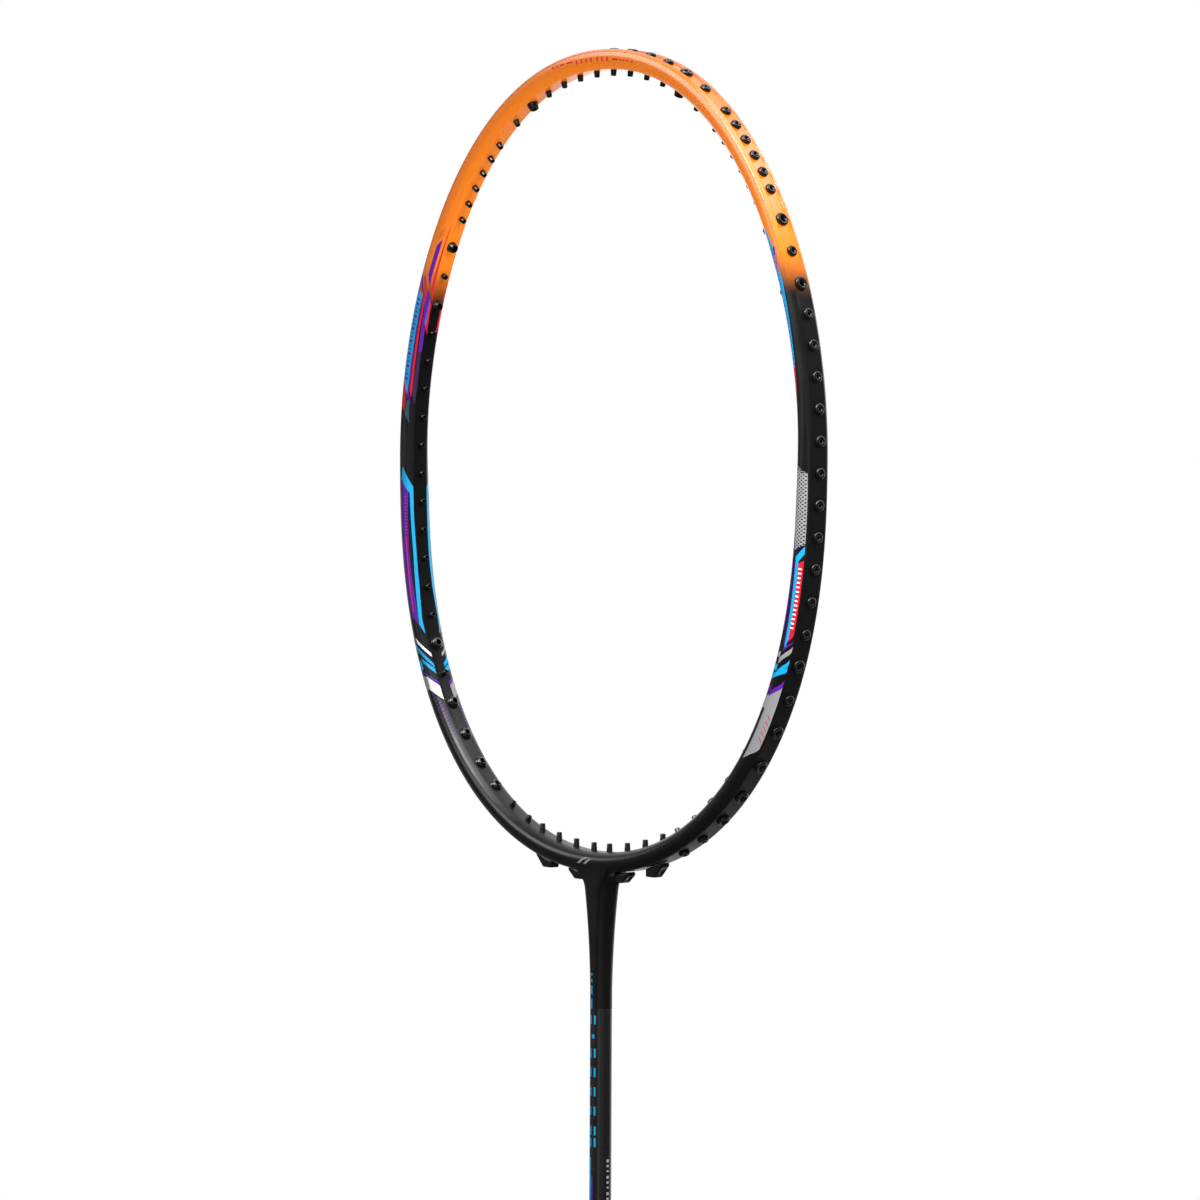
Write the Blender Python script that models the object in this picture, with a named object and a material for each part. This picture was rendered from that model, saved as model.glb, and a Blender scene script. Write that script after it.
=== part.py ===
"""Badminton racket without strings, standing on its butt with the head up.

Metres, +Z along the shaft towards the head, +X across the head, -Y out of the front face.
The origin is the middle of the butt's end face. Every separate piece is one object.
"""

import math

import bmesh
import bpy
import numpy as np
from mathutils import Vector

NAME = "badminton_racket"
MM = 0.001
AXIS_X, AXIS_Y, AXIS_Z = Vector((1, 0, 0)), Vector((0, 1, 0)), Vector((0, 0, 1))
GAP = 0.3 * MM  # kept between pieces that touch on the real racket

# Head: a hoop whose centreline is two half superellipses that meet at its widest point
LENGTH = 675 * MM
HEAD_HALF_LENGTH = 124.5 * MM
HEAD_HALF_WIDTH = 94.2 * MM
WIDEST_DROP = 1.7 * MM  # the widest point lies this far below the middle of the head
UPPER_POWERS = (2.12, 2.0)  # of x and of z
LOWER_POWERS = (2.08, 2.29)
HOOP_STATIONS = 72

# Hoop tube, with its section as (outward, depth) from its centreline
TUBE_WIDTH = 6.3 * MM
TUBE_DEPTH = 9.2 * MM
TUBE_WALL = 1.3 * MM
CAVITY_EDGE = 1.9 * MM  # half depths of the space inside, at its edges and its middle
CAVITY_CROWN = 3.3 * MM
GROOVE_DEPTH = 0.8 * MM
GROOVE_HALF_WIDTH = 2.3 * MM
GROOVE_RIM = 0.6 * MM
GROOVE_END = 130 * MM  # arc length from the top centre at which the groove has run out
GROOVE_FADE = 28 * MM
HEAD_CENTRE_Z = LENGTH - HEAD_HALF_LENGTH - TUBE_WIDTH / 2

# String holes of one half, from the top centre down: (how many, arc length to each next one)
HOLE_RUNS = (
    (1, 4.1 * MM), (3, 8.3 * MM), (1, 8.8 * MM), (1, 9.8 * MM), (1, 11.4 * MM),
    (5, 6.15 * MM), (3, 10.3 * MM), (9, 9.35 * MM), (3, 9.7 * MM), (2, 10.7 * MM),
    (2, 12.3 * MM), (2, 10.65 * MM), (2, 9.35 * MM), (3, 8.45 * MM),
)
WIDE_HOLES = {5, 13, 15, 27, 29, 30, 31, 32}  # two strings share these
LONG_HOLES = {33, 34, 35, 36, 37, 38}  # their barrels stand further into the head
# How far the outer end of a hole is shifted along the hoop, away from the shaft
OUTER_SHIFT = {35: -1.4 * MM, 36: 3.1 * MM, 37: 0.8 * MM, 38: 6.1 * MM}
STRIPS = ((7, 12), (16, 20), (21, 26))  # grommets joined by a web
PADS = ((35, 36), (37, 38))  # grommets joined by a wedge under the hoop
HOLE_CLEARANCE = 0.3 * MM
BARREL_RADIUS = {False: 1.0 * MM, True: 1.8 * MM}  # by whether the hole is a wide one
BORE_RADIUS = {False: 0.55 * MM, True: 1.0 * MM}
FLANGE_RADIUS = {False: 1.75 * MM, True: 2.2 * MM}
FLANGE_HEIGHT = 0.9 * MM
BARREL_REACH = {False: 1.9 * MM, True: 2.2 * MM}  # past the hoop's inner face
LONG_BARREL_REACH = 2.8 * MM
STRAIGHT_REACH = 2.2 * MM  # a shifted hole is straight up to this far inside the centreline
SHIFTED_STEM_OVERLAP = 0.4 * MM  # how far the stem of a shifted hole runs into its wedge
DRILL_PAST = 0.9 * MM  # how far the drills run past the hoop's faces
GROMMET_SIDES = 6  # of drills, barrels and bores, which all have flats to the front and back
WEB_THICKNESS = 0.5 * MM
WEB_HALF_WIDTH = 1.1 * MM
PAD_HALF_DEPTH = 1.7 * MM
# Wedge corners below the hoop: (inner end x, flat to x, outer end x, bottom drop, outer end drop)
PAD_SHAPES = {
    (35, 36): (22.3 * MM, 26.5 * MM, 30.0 * MM, 2.2 * MM, 0.9 * MM),
    (37, 38): (9.1 * MM, 11.6 * MM, 14.5 * MM, 2.6 * MM, 0.9 * MM),
}

# Neck, which flares from the shaft into the hoop, and the joint piece inside it
SHAFT_RADIUS = 3.45 * MM
SHAFT_BORE = 2.5 * MM
NECK_LENGTH = 42 * MM
NECK_TAPER = 36 * MM
NECK_FLARE = (2.5 * MM, 1.05 * MM)  # extra half width and half depth at the hoop
NECK_FILLET = 3.0 * MM
NECK_STEPS = 16
NECK_SIDES = 20
NECK_BORE = 2.5 * MM
SPIGOT_RADIUS = 2.1 * MM
SPIGOT_SIDES = 16
SPIGOT_IN_SHAFT = 32 * MM
SADDLE_HALF_ARC = 16.5 * MM
SADDLE_STATIONS = 9
SADDLE_GAP = 0.4 * MM
SHAFT_SIDES = 24

# Handle, an octagon of (width across X, depth across Y)
HANDLE_SIZE = (22.0 * MM, 19.4 * MM)
HANDLE_BEVEL = 0.29  # of the smaller side, cut off each corner
BUTT_FLARE = 4.0 * MM
BUTT_FLARE_HEIGHT = 28 * MM
CONE_BOTTOM_Z = 158 * MM
CONE_STRAIGHT_Z = 174 * MM
CONE_TOP_Z = 206 * MM
CONE_TOP_RADIUS = 4.7 * MM
CONE_TOP_EDGE = (0.5 * MM, 0.6 * MM)  # chamfer, across and along
CONE_HOLLOW = 1.6  # power of its taper; above 1 it is hollow
CONE_ROUNDING = 2.5  # how much sooner than it tapers it turns from an octagon to a circle
CONE_LEVELS = (174 * MM, 180 * MM, 186 * MM, 192 * MM, 198 * MM, 203 * MM)
CONE_WALL = 1.8 * MM
CORE_NOSE_Z = 182 * MM
CORE_TOP_Z = 190 * MM
SHAFT_BOTTOM_Z = 48 * MM
CORE_BORE_BOTTOM_Z = 40 * MM
CAP_PLATE = 3.0 * MM
CAP_SKIRT_TOP_Z = 11 * MM
CAP_WALL = 1.2 * MM
# The end plate's rounded edge: (inset, height, how round the octagon is)
CAP_EDGE = ((1 * MM, 0, 0.2), (0.3 * MM, 0.35 * MM, 0.1), (0, 1 * MM, 0))
BADGE_RADIUS = 8.5 * MM
BADGE_THICKNESS = 0.8 * MM
BADGE_SIDES = 32
GRIP_TOP_Z = 172 * MM
GRIP_THICKNESS = 1.8 * MM
GRIP_GROWTH = GAP + GRIP_THICKNESS  # of the wrap's outside over the bare handle
TAPE_BOTTOM_Z = 163 * MM
TAPE_TOP_Z = 180 * MM
TAPE_THICKNESS = 0.6 * MM
TACK_Z = 7.2 * MM
TACK_SHANK = 0.6 * MM
TACK_HEAD = 1.5 * MM
TACK_HEAD_HEIGHT = 0.5 * MM
TACK_HEAD_SINK = 0.15 * MM  # under the skirt's face
TACK_LENGTH = 7 * MM
TACK_SIDES = 12
TACK_HOLE_RISE = 1 * MM  # how far the hole cutters stand out of the skirt

# name: (colour, roughness, metallic)
FINISHES = {
    "frame_lacquer": ((0.02, 0.02, 0.022), 0.35, 0.0),
    "shaft_lacquer": ((0.02, 0.02, 0.022), 0.3, 0.0),
    "joint_resin": ((0.05, 0.05, 0.05), 0.6, 0.0),
    "grommet_nylon": ((0.012, 0.012, 0.013), 0.4, 0.0),
    "cone_plastic": ((0.015, 0.015, 0.016), 0.35, 0.0),
    "handle_wood": ((0.6, 0.42, 0.24), 0.7, 0.0),
    "cap_plastic": ((0.02, 0.02, 0.02), 0.45, 0.0),
    "badge_film": ((0.85, 0.25, 0.03), 0.3, 0.0),
    "tack_steel": ((0.6, 0.6, 0.6), 0.35, 1.0),
    "grip_pu": ((0.03, 0.03, 0.032), 0.75, 0.0),
    "tape_film": ((0.01, 0.01, 0.01), 0.4, 0.0),
}


def clear_scene():
    for thing in list(bpy.data.objects):
        bpy.data.objects.remove(thing, do_unlink=True)


def new_collection(name):
    collection = bpy.data.collections.new(name)
    bpy.context.scene.collection.children.link(collection)
    return collection


def new_material(name, colour, roughness, metallic):
    material = bpy.data.materials.new(name)
    material.use_nodes = True
    shader = material.node_tree.nodes["Principled BSDF"]
    shader.inputs["Base Color"].default_value = (*colour, 1)
    shader.inputs["Roughness"].default_value = roughness
    shader.inputs["Metallic"].default_value = metallic
    return material


clear_scene()
PARTS = new_collection(NAME)
CUTTERS = new_collection("cutters")
MATERIALS = {name: new_material(name, *finish) for name, finish in FINISHES.items()}


# Making objects


def add_piece(name, mesh, finish):
    """One piece of the racket, with a material of its own."""
    piece = bpy.data.objects.new(name, mesh)
    mesh.materials.append(MATERIALS[finish])
    PARTS.objects.link(piece)
    return piece


def add_cutter(name, mesh):
    cutter = bpy.data.objects.new(name, mesh)
    cutter.hide_render = True
    cutter.display_type = "WIRE"
    CUTTERS.objects.link(cutter)
    return cutter


def combine(piece, other, operation):
    modifier = piece.modifiers.new(f"{operation.lower()}_{other.name}", "BOOLEAN")
    modifier.operation = operation
    modifier.solver = "EXACT"
    modifier.object = other


def finish_mesh(name, bm, smooth_angle=30):
    """A mesh of bm with its faces pointing out, shaded smooth up to smooth_angle."""
    bmesh.ops.recalc_face_normals(bm, faces=bm.faces)
    mesh = bpy.data.meshes.new(name)
    bm.to_mesh(mesh)
    bm.free()
    mesh.shade_smooth()
    mesh.set_sharp_from_angle(angle=math.radians(smooth_angle))
    return mesh


def add_loft(bm, rings, closed=False):
    """A skin over rings of equally many points.

    Open ends are capped, and closed joins the last ring to the first.
    """
    loops = [[bm.verts.new(point) for point in ring] for ring in rings]
    pairs = list(zip(loops, loops[1:]))
    if closed:
        pairs.append((loops[-1], loops[0]))
    for low, high in pairs:
        for i in range(len(low)):
            j = (i + 1) % len(low)
            bm.faces.new((low[i], low[j], high[j], high[i]))
    if not closed:
        bm.faces.new(loops[0])
        bm.faces.new(reversed(loops[-1]))


def loft(name, rings, closed=False, smooth_angle=30):
    bm = bmesh.new()
    add_loft(bm, rings, closed)
    return finish_mesh(name, bm, smooth_angle)


def circle(middle, radius, across, up, sides):
    """Points round middle in the plane of the unit vectors across and up."""
    points = []
    for k in range(sides):
        angle = 2 * math.pi * k / sides
        points.append(middle + radius * (math.cos(angle) * across + math.sin(angle) * up))
    return points


def turned(name, profile, sides, closed=False):
    """A solid turned about Z from (radius, height) points; closed makes a ring of a closed profile."""
    rings = [circle(Vector((0, 0, z)), radius, AXIS_X, AXIS_Y, sides) for radius, z in profile]
    return loft(name, rings, closed)


def add_tube(bm, path, radii):
    """A solid of hexagons along path, each square to the path there, with flats to front and back."""
    rings = []
    for i, (point, radius) in enumerate(zip(path, radii)):
        before = path[max(i - 1, 0)]
        after = path[min(i + 1, len(path) - 1)]
        across = (after - before).normalized().cross(AXIS_Y)
        rings.append(circle(point, radius, across, AXIS_Y, GROMMET_SIDES))
    add_loft(bm, rings)


# The hoop's centreline


def half_centreline(samples=3000):
    """Points (x, z) of the right half from the top centre down, and the arc length at each."""
    turn = np.linspace(0, math.pi, samples)
    upper = turn <= math.pi / 2
    x_power = np.where(upper, UPPER_POWERS[0], LOWER_POWERS[0])
    z_power = np.where(upper, UPPER_POWERS[1], LOWER_POWERS[1])
    reach = np.where(upper, HEAD_HALF_LENGTH + WIDEST_DROP, HEAD_HALF_LENGTH - WIDEST_DROP)
    x = HEAD_HALF_WIDTH * np.clip(np.sin(turn), 0, 1) ** (2 / x_power)
    z = reach * np.sign(np.cos(turn)) * np.abs(np.cos(turn)) ** (2 / z_power) - WIDEST_DROP
    arc = np.concatenate([[0], np.cumsum(np.hypot(np.diff(x), np.diff(z)))])
    return x, z, arc


LINE_X, LINE_Z, LINE_ARC = half_centreline()
HALF_ARC = float(LINE_ARC[-1])


def hoop_point(arc, outward=0.0, depth=0.0, side=1):
    """The point at arc along the right half (side -1: the left), outward of the centreline and along Y."""
    step = 0.5 * MM
    reflected = abs(arc)
    if reflected > HALF_ARC:
        reflected = 2 * HALF_ARC - reflected
        side = -side
    if arc < 0:
        side = -side
    low, high = max(reflected - step, 0), min(reflected + step, HALF_ARC)
    x, z = np.interp(reflected, LINE_ARC, LINE_X), np.interp(reflected, LINE_ARC, LINE_Z)
    run_x = np.interp(high, LINE_ARC, LINE_X) - np.interp(low, LINE_ARC, LINE_X)
    run_z = np.interp(high, LINE_ARC, LINE_Z) - np.interp(low, LINE_ARC, LINE_Z)
    if reflected < step or reflected > HALF_ARC - step:
        run_z = 0  # level at the two ends of the half, where the other half takes over
    length = math.hypot(run_x, run_z)
    x -= run_z / length * outward
    z += run_x / length * outward
    return Vector((side * x, depth, HEAD_CENTRE_Z + z))


def groove_depth(arc):
    return GROOVE_DEPTH * min(max((GROOVE_END - arc) / GROOVE_FADE, 0), 1)


def mirrored(front):
    """A closed outline from its (outward, depth) points on one side of the hoop's mid plane."""
    return front + [(outward, -depth) for outward, depth in reversed(front)]


def tube_section(arc):
    """The hoop tube's outline: a bevel to the inner face, a crown, and a groove in the outer face."""
    half, deep = TUBE_WIDTH / 2, TUBE_DEPTH / 2
    floor = half - groove_depth(arc)
    rim = GROOVE_HALF_WIDTH + GROOVE_RIM
    return mirrored([
        (-half, 0.58 * deep), (-0.38 * half, 0.95 * deep), (0.2 * half, deep),
        (0.73 * half, 0.92 * deep), (half, rim), (floor, GROOVE_HALF_WIDTH),
    ])


def inner_section(shrink):
    """The outline of the space inside the hoop tube, made smaller by shrink all round."""
    inner = -TUBE_WIDTH / 2 + TUBE_WALL + shrink
    outer = TUBE_WIDTH / 2 - GROOVE_DEPTH - TUBE_WALL - shrink
    edge, crown = CAVITY_EDGE - shrink, CAVITY_CROWN - 1.5 * shrink
    return mirrored([(inner, edge), (0.5 * (inner + outer), crown), (outer, edge)])


def hoop_rings(section, stations, first=0.0, last=None):
    """Rings of section(arc) along the whole hoop, or from arc first to last."""
    whole = last is None
    run = 2 * HALF_ARC if whole else last - first
    count = stations if whole else stations - 1
    rings = []
    for k in range(stations):
        arc = first + run * k / count
        from_top = arc if arc <= HALF_ARC else 2 * HALF_ARC - arc
        rings.append([hoop_point(arc, outward, depth) for outward, depth in section(from_top)])
    return rings


# String holes


def hole_arcs():
    """Arc length from the top centre to each hole of one half, by the hole's number."""
    arcs, arc = {}, 0.0
    for count, spacing in HOLE_RUNS:
        for _ in range(count):
            arc += spacing
            arcs[len(arcs) + 1] = arc
    return arcs


HOLES = hole_arcs()


def hole_path(hole, side, inner, outer):
    """The hole's axis from inner to outer of the centreline, slanted where its outer end is shifted."""
    arc = HOLES[hole]
    end = arc - OUTER_SHIFT.get(hole, 0)
    path = [hoop_point(arc, inner, side=side)]
    if hole in OUTER_SHIFT:
        path.append(hoop_point(arc, -STRAIGHT_REACH, side=side))
        path.append(hoop_point(end, TUBE_WIDTH / 2, side=side))
    path.append(hoop_point(end, outer, side=side))
    return path


def all_drills():
    """One mesh of all the holes, for drilling the hoop and the joint piece."""
    bm = bmesh.new()
    past = TUBE_WIDTH / 2 + DRILL_PAST
    for side in (1, -1):
        for hole in HOLES:
            path = hole_path(hole, side, -past, past)
            radius = BARREL_RADIUS[hole in WIDE_HOLES] + HOLE_CLEARANCE
            add_tube(bm, path, [radius] * len(path))
    return finish_mesh("string_holes", bm)


def grommet_levels(hole):
    """How far out a grommet's inner tip, the underside of its flange and its top lie."""
    reach = LONG_BARREL_REACH if hole in LONG_HOLES else BARREL_REACH[hole in WIDE_HOLES]
    tip = -TUBE_WIDTH / 2 - reach
    seat = TUBE_WIDTH / 2 - groove_depth(HOLES[hole]) + GAP
    return tip, seat, seat + FLANGE_HEIGHT


def add_stem(bm, hole, side):
    """A grommet's barrel and flange, still without its bore."""
    tip, seat, top = grommet_levels(hole)
    wide = hole in WIDE_HOLES
    barrel, flange = BARREL_RADIUS[wide], FLANGE_RADIUS[wide]
    if hole in OUTER_SHIFT:
        path = hole_path(hole, side, tip, seat + SHIFTED_STEM_OVERLAP)
        add_tube(bm, path, [barrel] * len(path))
        return
    base, end = hole_path(hole, side, tip, seat)
    out = (end - base).normalized()
    path = [base, end, end, end + out * (top - seat)]
    across = out.cross(AXIS_Y)
    radii = (barrel, barrel, flange, flange)
    add_loft(bm, [circle(*place, across, AXIS_Y, GROMMET_SIDES) for place in zip(path, radii)])


def web_mesh(name, first, last, side):
    """The thin strip that joins neighbouring grommets along the groove."""
    start, end = HOLES[first], HOLES[last]
    count = 2 * (last - first) + 1
    rings = []
    for k in range(count):
        arc = start + (end - start) * k / (count - 1)
        seat = TUBE_WIDTH / 2 - groove_depth(arc) + GAP
        corners = (
            (seat, WEB_HALF_WIDTH), (seat + WEB_THICKNESS, WEB_HALF_WIDTH),
            (seat + WEB_THICKNESS, -WEB_HALF_WIDTH), (seat, -WEB_HALF_WIDTH),
        )
        rings.append([hoop_point(arc, outward, depth, side) for outward, depth in corners])
    return loft(name, rings)


def underside(x):
    """How low the hoop's outer face lies at x near the bottom."""
    arcs = np.linspace(HALF_ARC - 60 * MM, HALF_ARC, 400)
    points = [hoop_point(arc, TUBE_WIDTH / 2) for arc in arcs]
    return float(np.interp(-x, [-p.x for p in points], [p.z for p in points]))


def pad_mesh(name, pair, side):
    """The wedge under the hoop that joins the two grommets nearest the shaft."""
    inner, flat, outer, drop, outer_drop = PAD_SHAPES[pair]
    bottom = underside(inner) - drop
    outline = (
        (inner, underside(inner) - GAP), (inner, bottom), (flat, bottom),
        (outer, underside(outer) - outer_drop), (outer, underside(outer) - GAP),
    )
    rings = [
        [Vector((side * x, depth, z)) for x, z in outline]
        for depth in (-PAD_HALF_DEPTH, PAD_HALF_DEPTH)
    ]
    return loft(name, rings)


def bore_mesh(name, holes, side):
    bm = bmesh.new()
    for hole in holes:
        tip, _, top = grommet_levels(hole)
        path = hole_path(hole, side, tip - 1 * MM, top + 3 * MM)
        radius = BORE_RADIUS[hole in WIDE_HOLES]
        add_tube(bm, path, [radius] * len(path))
    return finish_mesh(name, bm)


def add_grommets(holes, side):
    """One grommet, or one moulding of several, through the holes first to last of one half."""
    letter = "r" if side > 0 else "l"
    numbers = "_".join(f"{hole:02d}" for hole in sorted({holes[0], holes[-1]}))
    name = f"grommet_{letter}_{numbers}"
    stems = bmesh.new()
    for hole in holes:
        add_stem(stems, hole, side)
    if len(holes) == 1:
        piece = add_piece(name, finish_mesh(name, stems), "grommet_nylon")
    else:
        pair = (holes[0], holes[-1])
        body = pad_mesh(name, pair, side) if pair in PADS else web_mesh(name, *pair, side)
        piece = add_piece(name, body, "grommet_nylon")
        combine(piece, add_cutter(f"{name}_stems", finish_mesh(f"{name}_stems", stems)), "UNION")
    bores = add_cutter(f"{name}_bores", bore_mesh(f"{name}_bores", holes, side))
    combine(piece, bores, "DIFFERENCE")


def grommet_sets():
    """The holes of one half, as the runs that each share a grommet moulding."""
    runs = {first: tuple(range(first, last + 1)) for first, last in STRIPS + PADS}
    joined = {hole for run in runs.values() for hole in run}
    return [runs.get(hole, (hole,)) for hole in HOLES if hole in runs or hole not in joined]


# Head frame, joint piece and shaft

HOOP_BOTTOM_CENTRE_Z = HEAD_CENTRE_Z - HEAD_HALF_LENGTH
HOOP_BOTTOM_Z = HOOP_BOTTOM_CENTRE_Z - TUBE_WIDTH / 2
NECK_BOTTOM_Z = HOOP_BOTTOM_Z - NECK_LENGTH


def neck_size(drop):
    """Half width and half depth of the neck at a drop below the hoop."""
    taper = max(1 - drop / NECK_TAPER, 0) ** 2
    width, depth = (SHAFT_RADIUS + flare * taper for flare in NECK_FLARE)
    if drop < NECK_FILLET:
        rise = NECK_FILLET - max(drop, 0)
        width += NECK_FILLET - math.sqrt(NECK_FILLET**2 - rise**2)
    return width, depth


def neck_rings():
    """Rings from inside the hoop down to the shaft, squarish at the top and round at the bottom."""
    rings = []
    drops = [-0.35 * TUBE_WIDTH, 0.0]
    drops += [NECK_LENGTH * (k / NECK_STEPS) ** 1.8 for k in range(1, NECK_STEPS + 1)]
    for drop in drops:
        width, depth = neck_size(drop)
        power = 2 + max(1 - max(drop, 0) / NECK_TAPER, 0)
        ring = []
        for k in range(NECK_SIDES):
            angle = 2 * math.pi * k / NECK_SIDES
            c, s = math.cos(angle), math.sin(angle)
            x = width * math.copysign(abs(c) ** (2 / power), c)
            y = depth * math.copysign(abs(s) ** (2 / power), s)
            ring.append(Vector((x, y, HOOP_BOTTOM_Z - drop)))
        rings.append(ring)
    return rings


def build_head_frame(drills):
    """The hollow hoop and neck, one moulding of carbon fibre."""
    hoop = hoop_rings(tube_section, HOOP_STATIONS)
    frame = add_piece("head_frame", loft("head_frame", hoop, closed=True), "frame_lacquer")
    space = hoop_rings(lambda arc: inner_section(0), HOOP_STATIONS)
    profile = [(NECK_BORE, NECK_BOTTOM_Z - 1 * MM), (NECK_BORE, HOOP_BOTTOM_CENTRE_Z)]
    neck = add_cutter("neck", loft("neck", neck_rings()))
    cavity = add_cutter("hoop_cavity", loft("hoop_cavity", space, closed=True))
    bore = add_cutter("neck_bore", turned("neck_bore", profile, NECK_SIDES))
    combine(frame, neck, "UNION")
    for cutter in (cavity, bore, drills):
        combine(frame, cutter, "DIFFERENCE")


def build_t_joint(drills):
    """The moulded joint: a saddle inside the hoop and a spigot through the neck into the shaft."""
    ends = (HALF_ARC - SADDLE_HALF_ARC, HALF_ARC + SADDLE_HALF_ARC)
    rings = hoop_rings(lambda arc: inner_section(SADDLE_GAP), SADDLE_STATIONS, *ends)
    joint = add_piece("t_joint", loft("t_joint", rings), "joint_resin")
    profile = [(SPIGOT_RADIUS, NECK_BOTTOM_Z - SPIGOT_IN_SHAFT), (SPIGOT_RADIUS, HOOP_BOTTOM_CENTRE_Z)]
    spigot = add_cutter("spigot", turned("spigot", profile, SPIGOT_SIDES))
    combine(joint, spigot, "UNION")
    combine(joint, drills, "DIFFERENCE")


def build_shaft():
    top = NECK_BOTTOM_Z - GAP
    profile = [
        (SHAFT_RADIUS, SHAFT_BOTTOM_Z), (SHAFT_RADIUS, top),
        (SHAFT_BORE, top), (SHAFT_BORE, SHAFT_BOTTOM_Z),
    ]
    add_piece("shaft", turned("shaft", profile, SHAFT_SIDES, closed=True), "shaft_lacquer")


# Handle


def handle_size(z):
    """Width and depth of the bare handle, which flares towards the butt."""
    flare = BUTT_FLARE * max(1 - z / BUTT_FLARE_HEIGHT, 0) ** 2
    return HANDLE_SIZE[0] + flare, HANDLE_SIZE[1] + flare


def handle_ring(size, z, grow=0.0, roundness=0.0):
    """16 points at height z: an octagon's corners and mid sides, pushed towards an ellipse."""
    width, depth = size[0] / 2 + grow, size[1] / 2 + grow
    bevel = HANDLE_BEVEL * 2 * min(width, depth)
    octagon = [
        (width, 0), (width, depth - bevel), (width - bevel / 2, depth - bevel / 2),
        (width - bevel, depth), (0, depth),
    ]
    quarter = []
    for k, (x, y) in enumerate(octagon):
        round_x = width * math.cos(k * math.pi / 8)
        round_y = depth * math.sin(k * math.pi / 8)
        quarter.append((x + (round_x - x) * roundness, y + (round_y - y) * roundness))
    half = quarter + [(-x, y) for x, y in reversed(quarter[:-1])]
    whole = half + [(-x, -y) for x, y in half[1:-1]]
    return [Vector((x, y, z)) for x, y in whole]


def cone_size(z):
    """Outer width and depth of the cone, and how round it is there."""
    share = min(max((z - CONE_STRAIGHT_Z) / (CONE_TOP_Z - CONE_STRAIGHT_Z), 0), 1)
    swell = (1 - share) ** CONE_HOLLOW
    top = 2 * CONE_TOP_RADIUS
    return tuple(top + (side - top) * swell for side in HANDLE_SIZE), min(share * CONE_ROUNDING, 1)


def build_handle_core():
    """The wooden handle, cut back for the cap's skirt and the cone, with a bore for the shaft."""
    skirt = CAP_WALL + GAP
    bottom, ledge = CAP_PLATE + GAP, CAP_SKIRT_TOP_Z + GAP
    shoulder = CONE_BOTTOM_Z - GAP
    rings = [handle_ring(handle_size(z), z, -skirt) for z in (bottom, ledge)]
    for z in (ledge, 16 * MM, 22 * MM, BUTT_FLARE_HEIGHT, shoulder):
        rings.append(handle_ring(handle_size(z), z))
    nose = CONE_WALL + GAP
    for z in (shoulder, CONE_STRAIGHT_Z, CORE_NOSE_Z, CORE_TOP_Z):
        size, roundness = cone_size(z)
        rings.append(handle_ring(size, z, -nose, roundness))
    core = add_piece("handle_core", loft("handle_core", rings), "handle_wood")
    radius = SHAFT_RADIUS + GAP
    bore = turned("shaft_bore", [(radius, CORE_BORE_BOTTOM_Z), (radius, LENGTH)], SHAFT_SIDES)
    combine(core, add_cutter("shaft_bore", bore), "DIFFERENCE")
    combine(core, add_cutter("tack_pilots", tack_mesh("tack_pilots", GAP)), "DIFFERENCE")


def build_cone():
    """The hollow cone over the core's nose, from the handle up to the shaft."""
    outer = []
    for z in (CONE_BOTTOM_Z, *CONE_LEVELS):
        size, roundness = cone_size(z)
        outer.append(handle_ring(size, z, 0, roundness))
    top = (2 * CONE_TOP_RADIUS, 2 * CONE_TOP_RADIUS)
    chamfer, chamfer_height = CONE_TOP_EDGE
    outer.append(handle_ring(top, CONE_TOP_Z - chamfer_height, 0, 1))
    outer.append(handle_ring(top, CONE_TOP_Z, -chamfer, 1))
    bore = (2 * (SHAFT_RADIUS + GAP), 2 * (SHAFT_RADIUS + GAP))
    inner = [handle_ring(bore, z, 0, 1) for z in (CONE_TOP_Z, CORE_TOP_Z + 1 * MM)]
    for z in (CORE_TOP_Z + GAP, CORE_NOSE_Z, CONE_STRAIGHT_Z, CONE_BOTTOM_Z):
        size, roundness = cone_size(z)
        inner.append(handle_ring(size, z, -CONE_WALL, roundness))
    add_piece("cone", loft("cone", outer + inner, closed=True), "cone_plastic")


def build_butt_cap():
    """The plastic cap: an end plate with a round recess for the badge, and a skirt over the core."""
    rim = handle_size(0)
    recess = (2 * (BADGE_RADIUS + GAP), 2 * (BADGE_RADIUS + GAP))
    skirt = CAP_SKIRT_TOP_Z
    rings = [handle_ring(recess, z, 0, 1) for z in (BADGE_THICKNESS + GAP, 0)]
    for inset, z, roundness in CAP_EDGE:
        rings.append(handle_ring(rim, z, GRIP_GROWTH - inset, roundness))
    rings += [
        handle_ring(rim, CAP_PLATE, GRIP_GROWTH),
        handle_ring(handle_size(CAP_PLATE), CAP_PLATE),
        handle_ring(handle_size(skirt), skirt),
        handle_ring(handle_size(skirt), skirt, -CAP_WALL),
        handle_ring(handle_size(CAP_PLATE), CAP_PLATE, -CAP_WALL),
    ]
    cap = add_piece("butt_cap", loft("butt_cap", rings), "cap_plastic")
    combine(cap, add_cutter("tack_holes", tack_mesh("tack_holes", GAP)), "DIFFERENCE")
    disc = [(BADGE_RADIUS, 0), (BADGE_RADIUS, BADGE_THICKNESS)]
    add_piece("butt_badge", turned("butt_badge", disc, BADGE_SIDES), "badge_film")


def tack_profile(spare):
    """(radius, y) points of the front tack, its head flush with the skirt and its shank in the wood."""
    face = -handle_size(TACK_Z)[1] / 2
    neck = face + TACK_HEAD_HEIGHT + spare
    tip = face + TACK_LENGTH + spare
    head, shank = TACK_HEAD + spare, TACK_SHANK + spare
    top = face - TACK_HOLE_RISE if spare else face + TACK_HEAD_SINK
    return [(head, top), (head, neck), (shank, neck), (shank, tip)]


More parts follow.
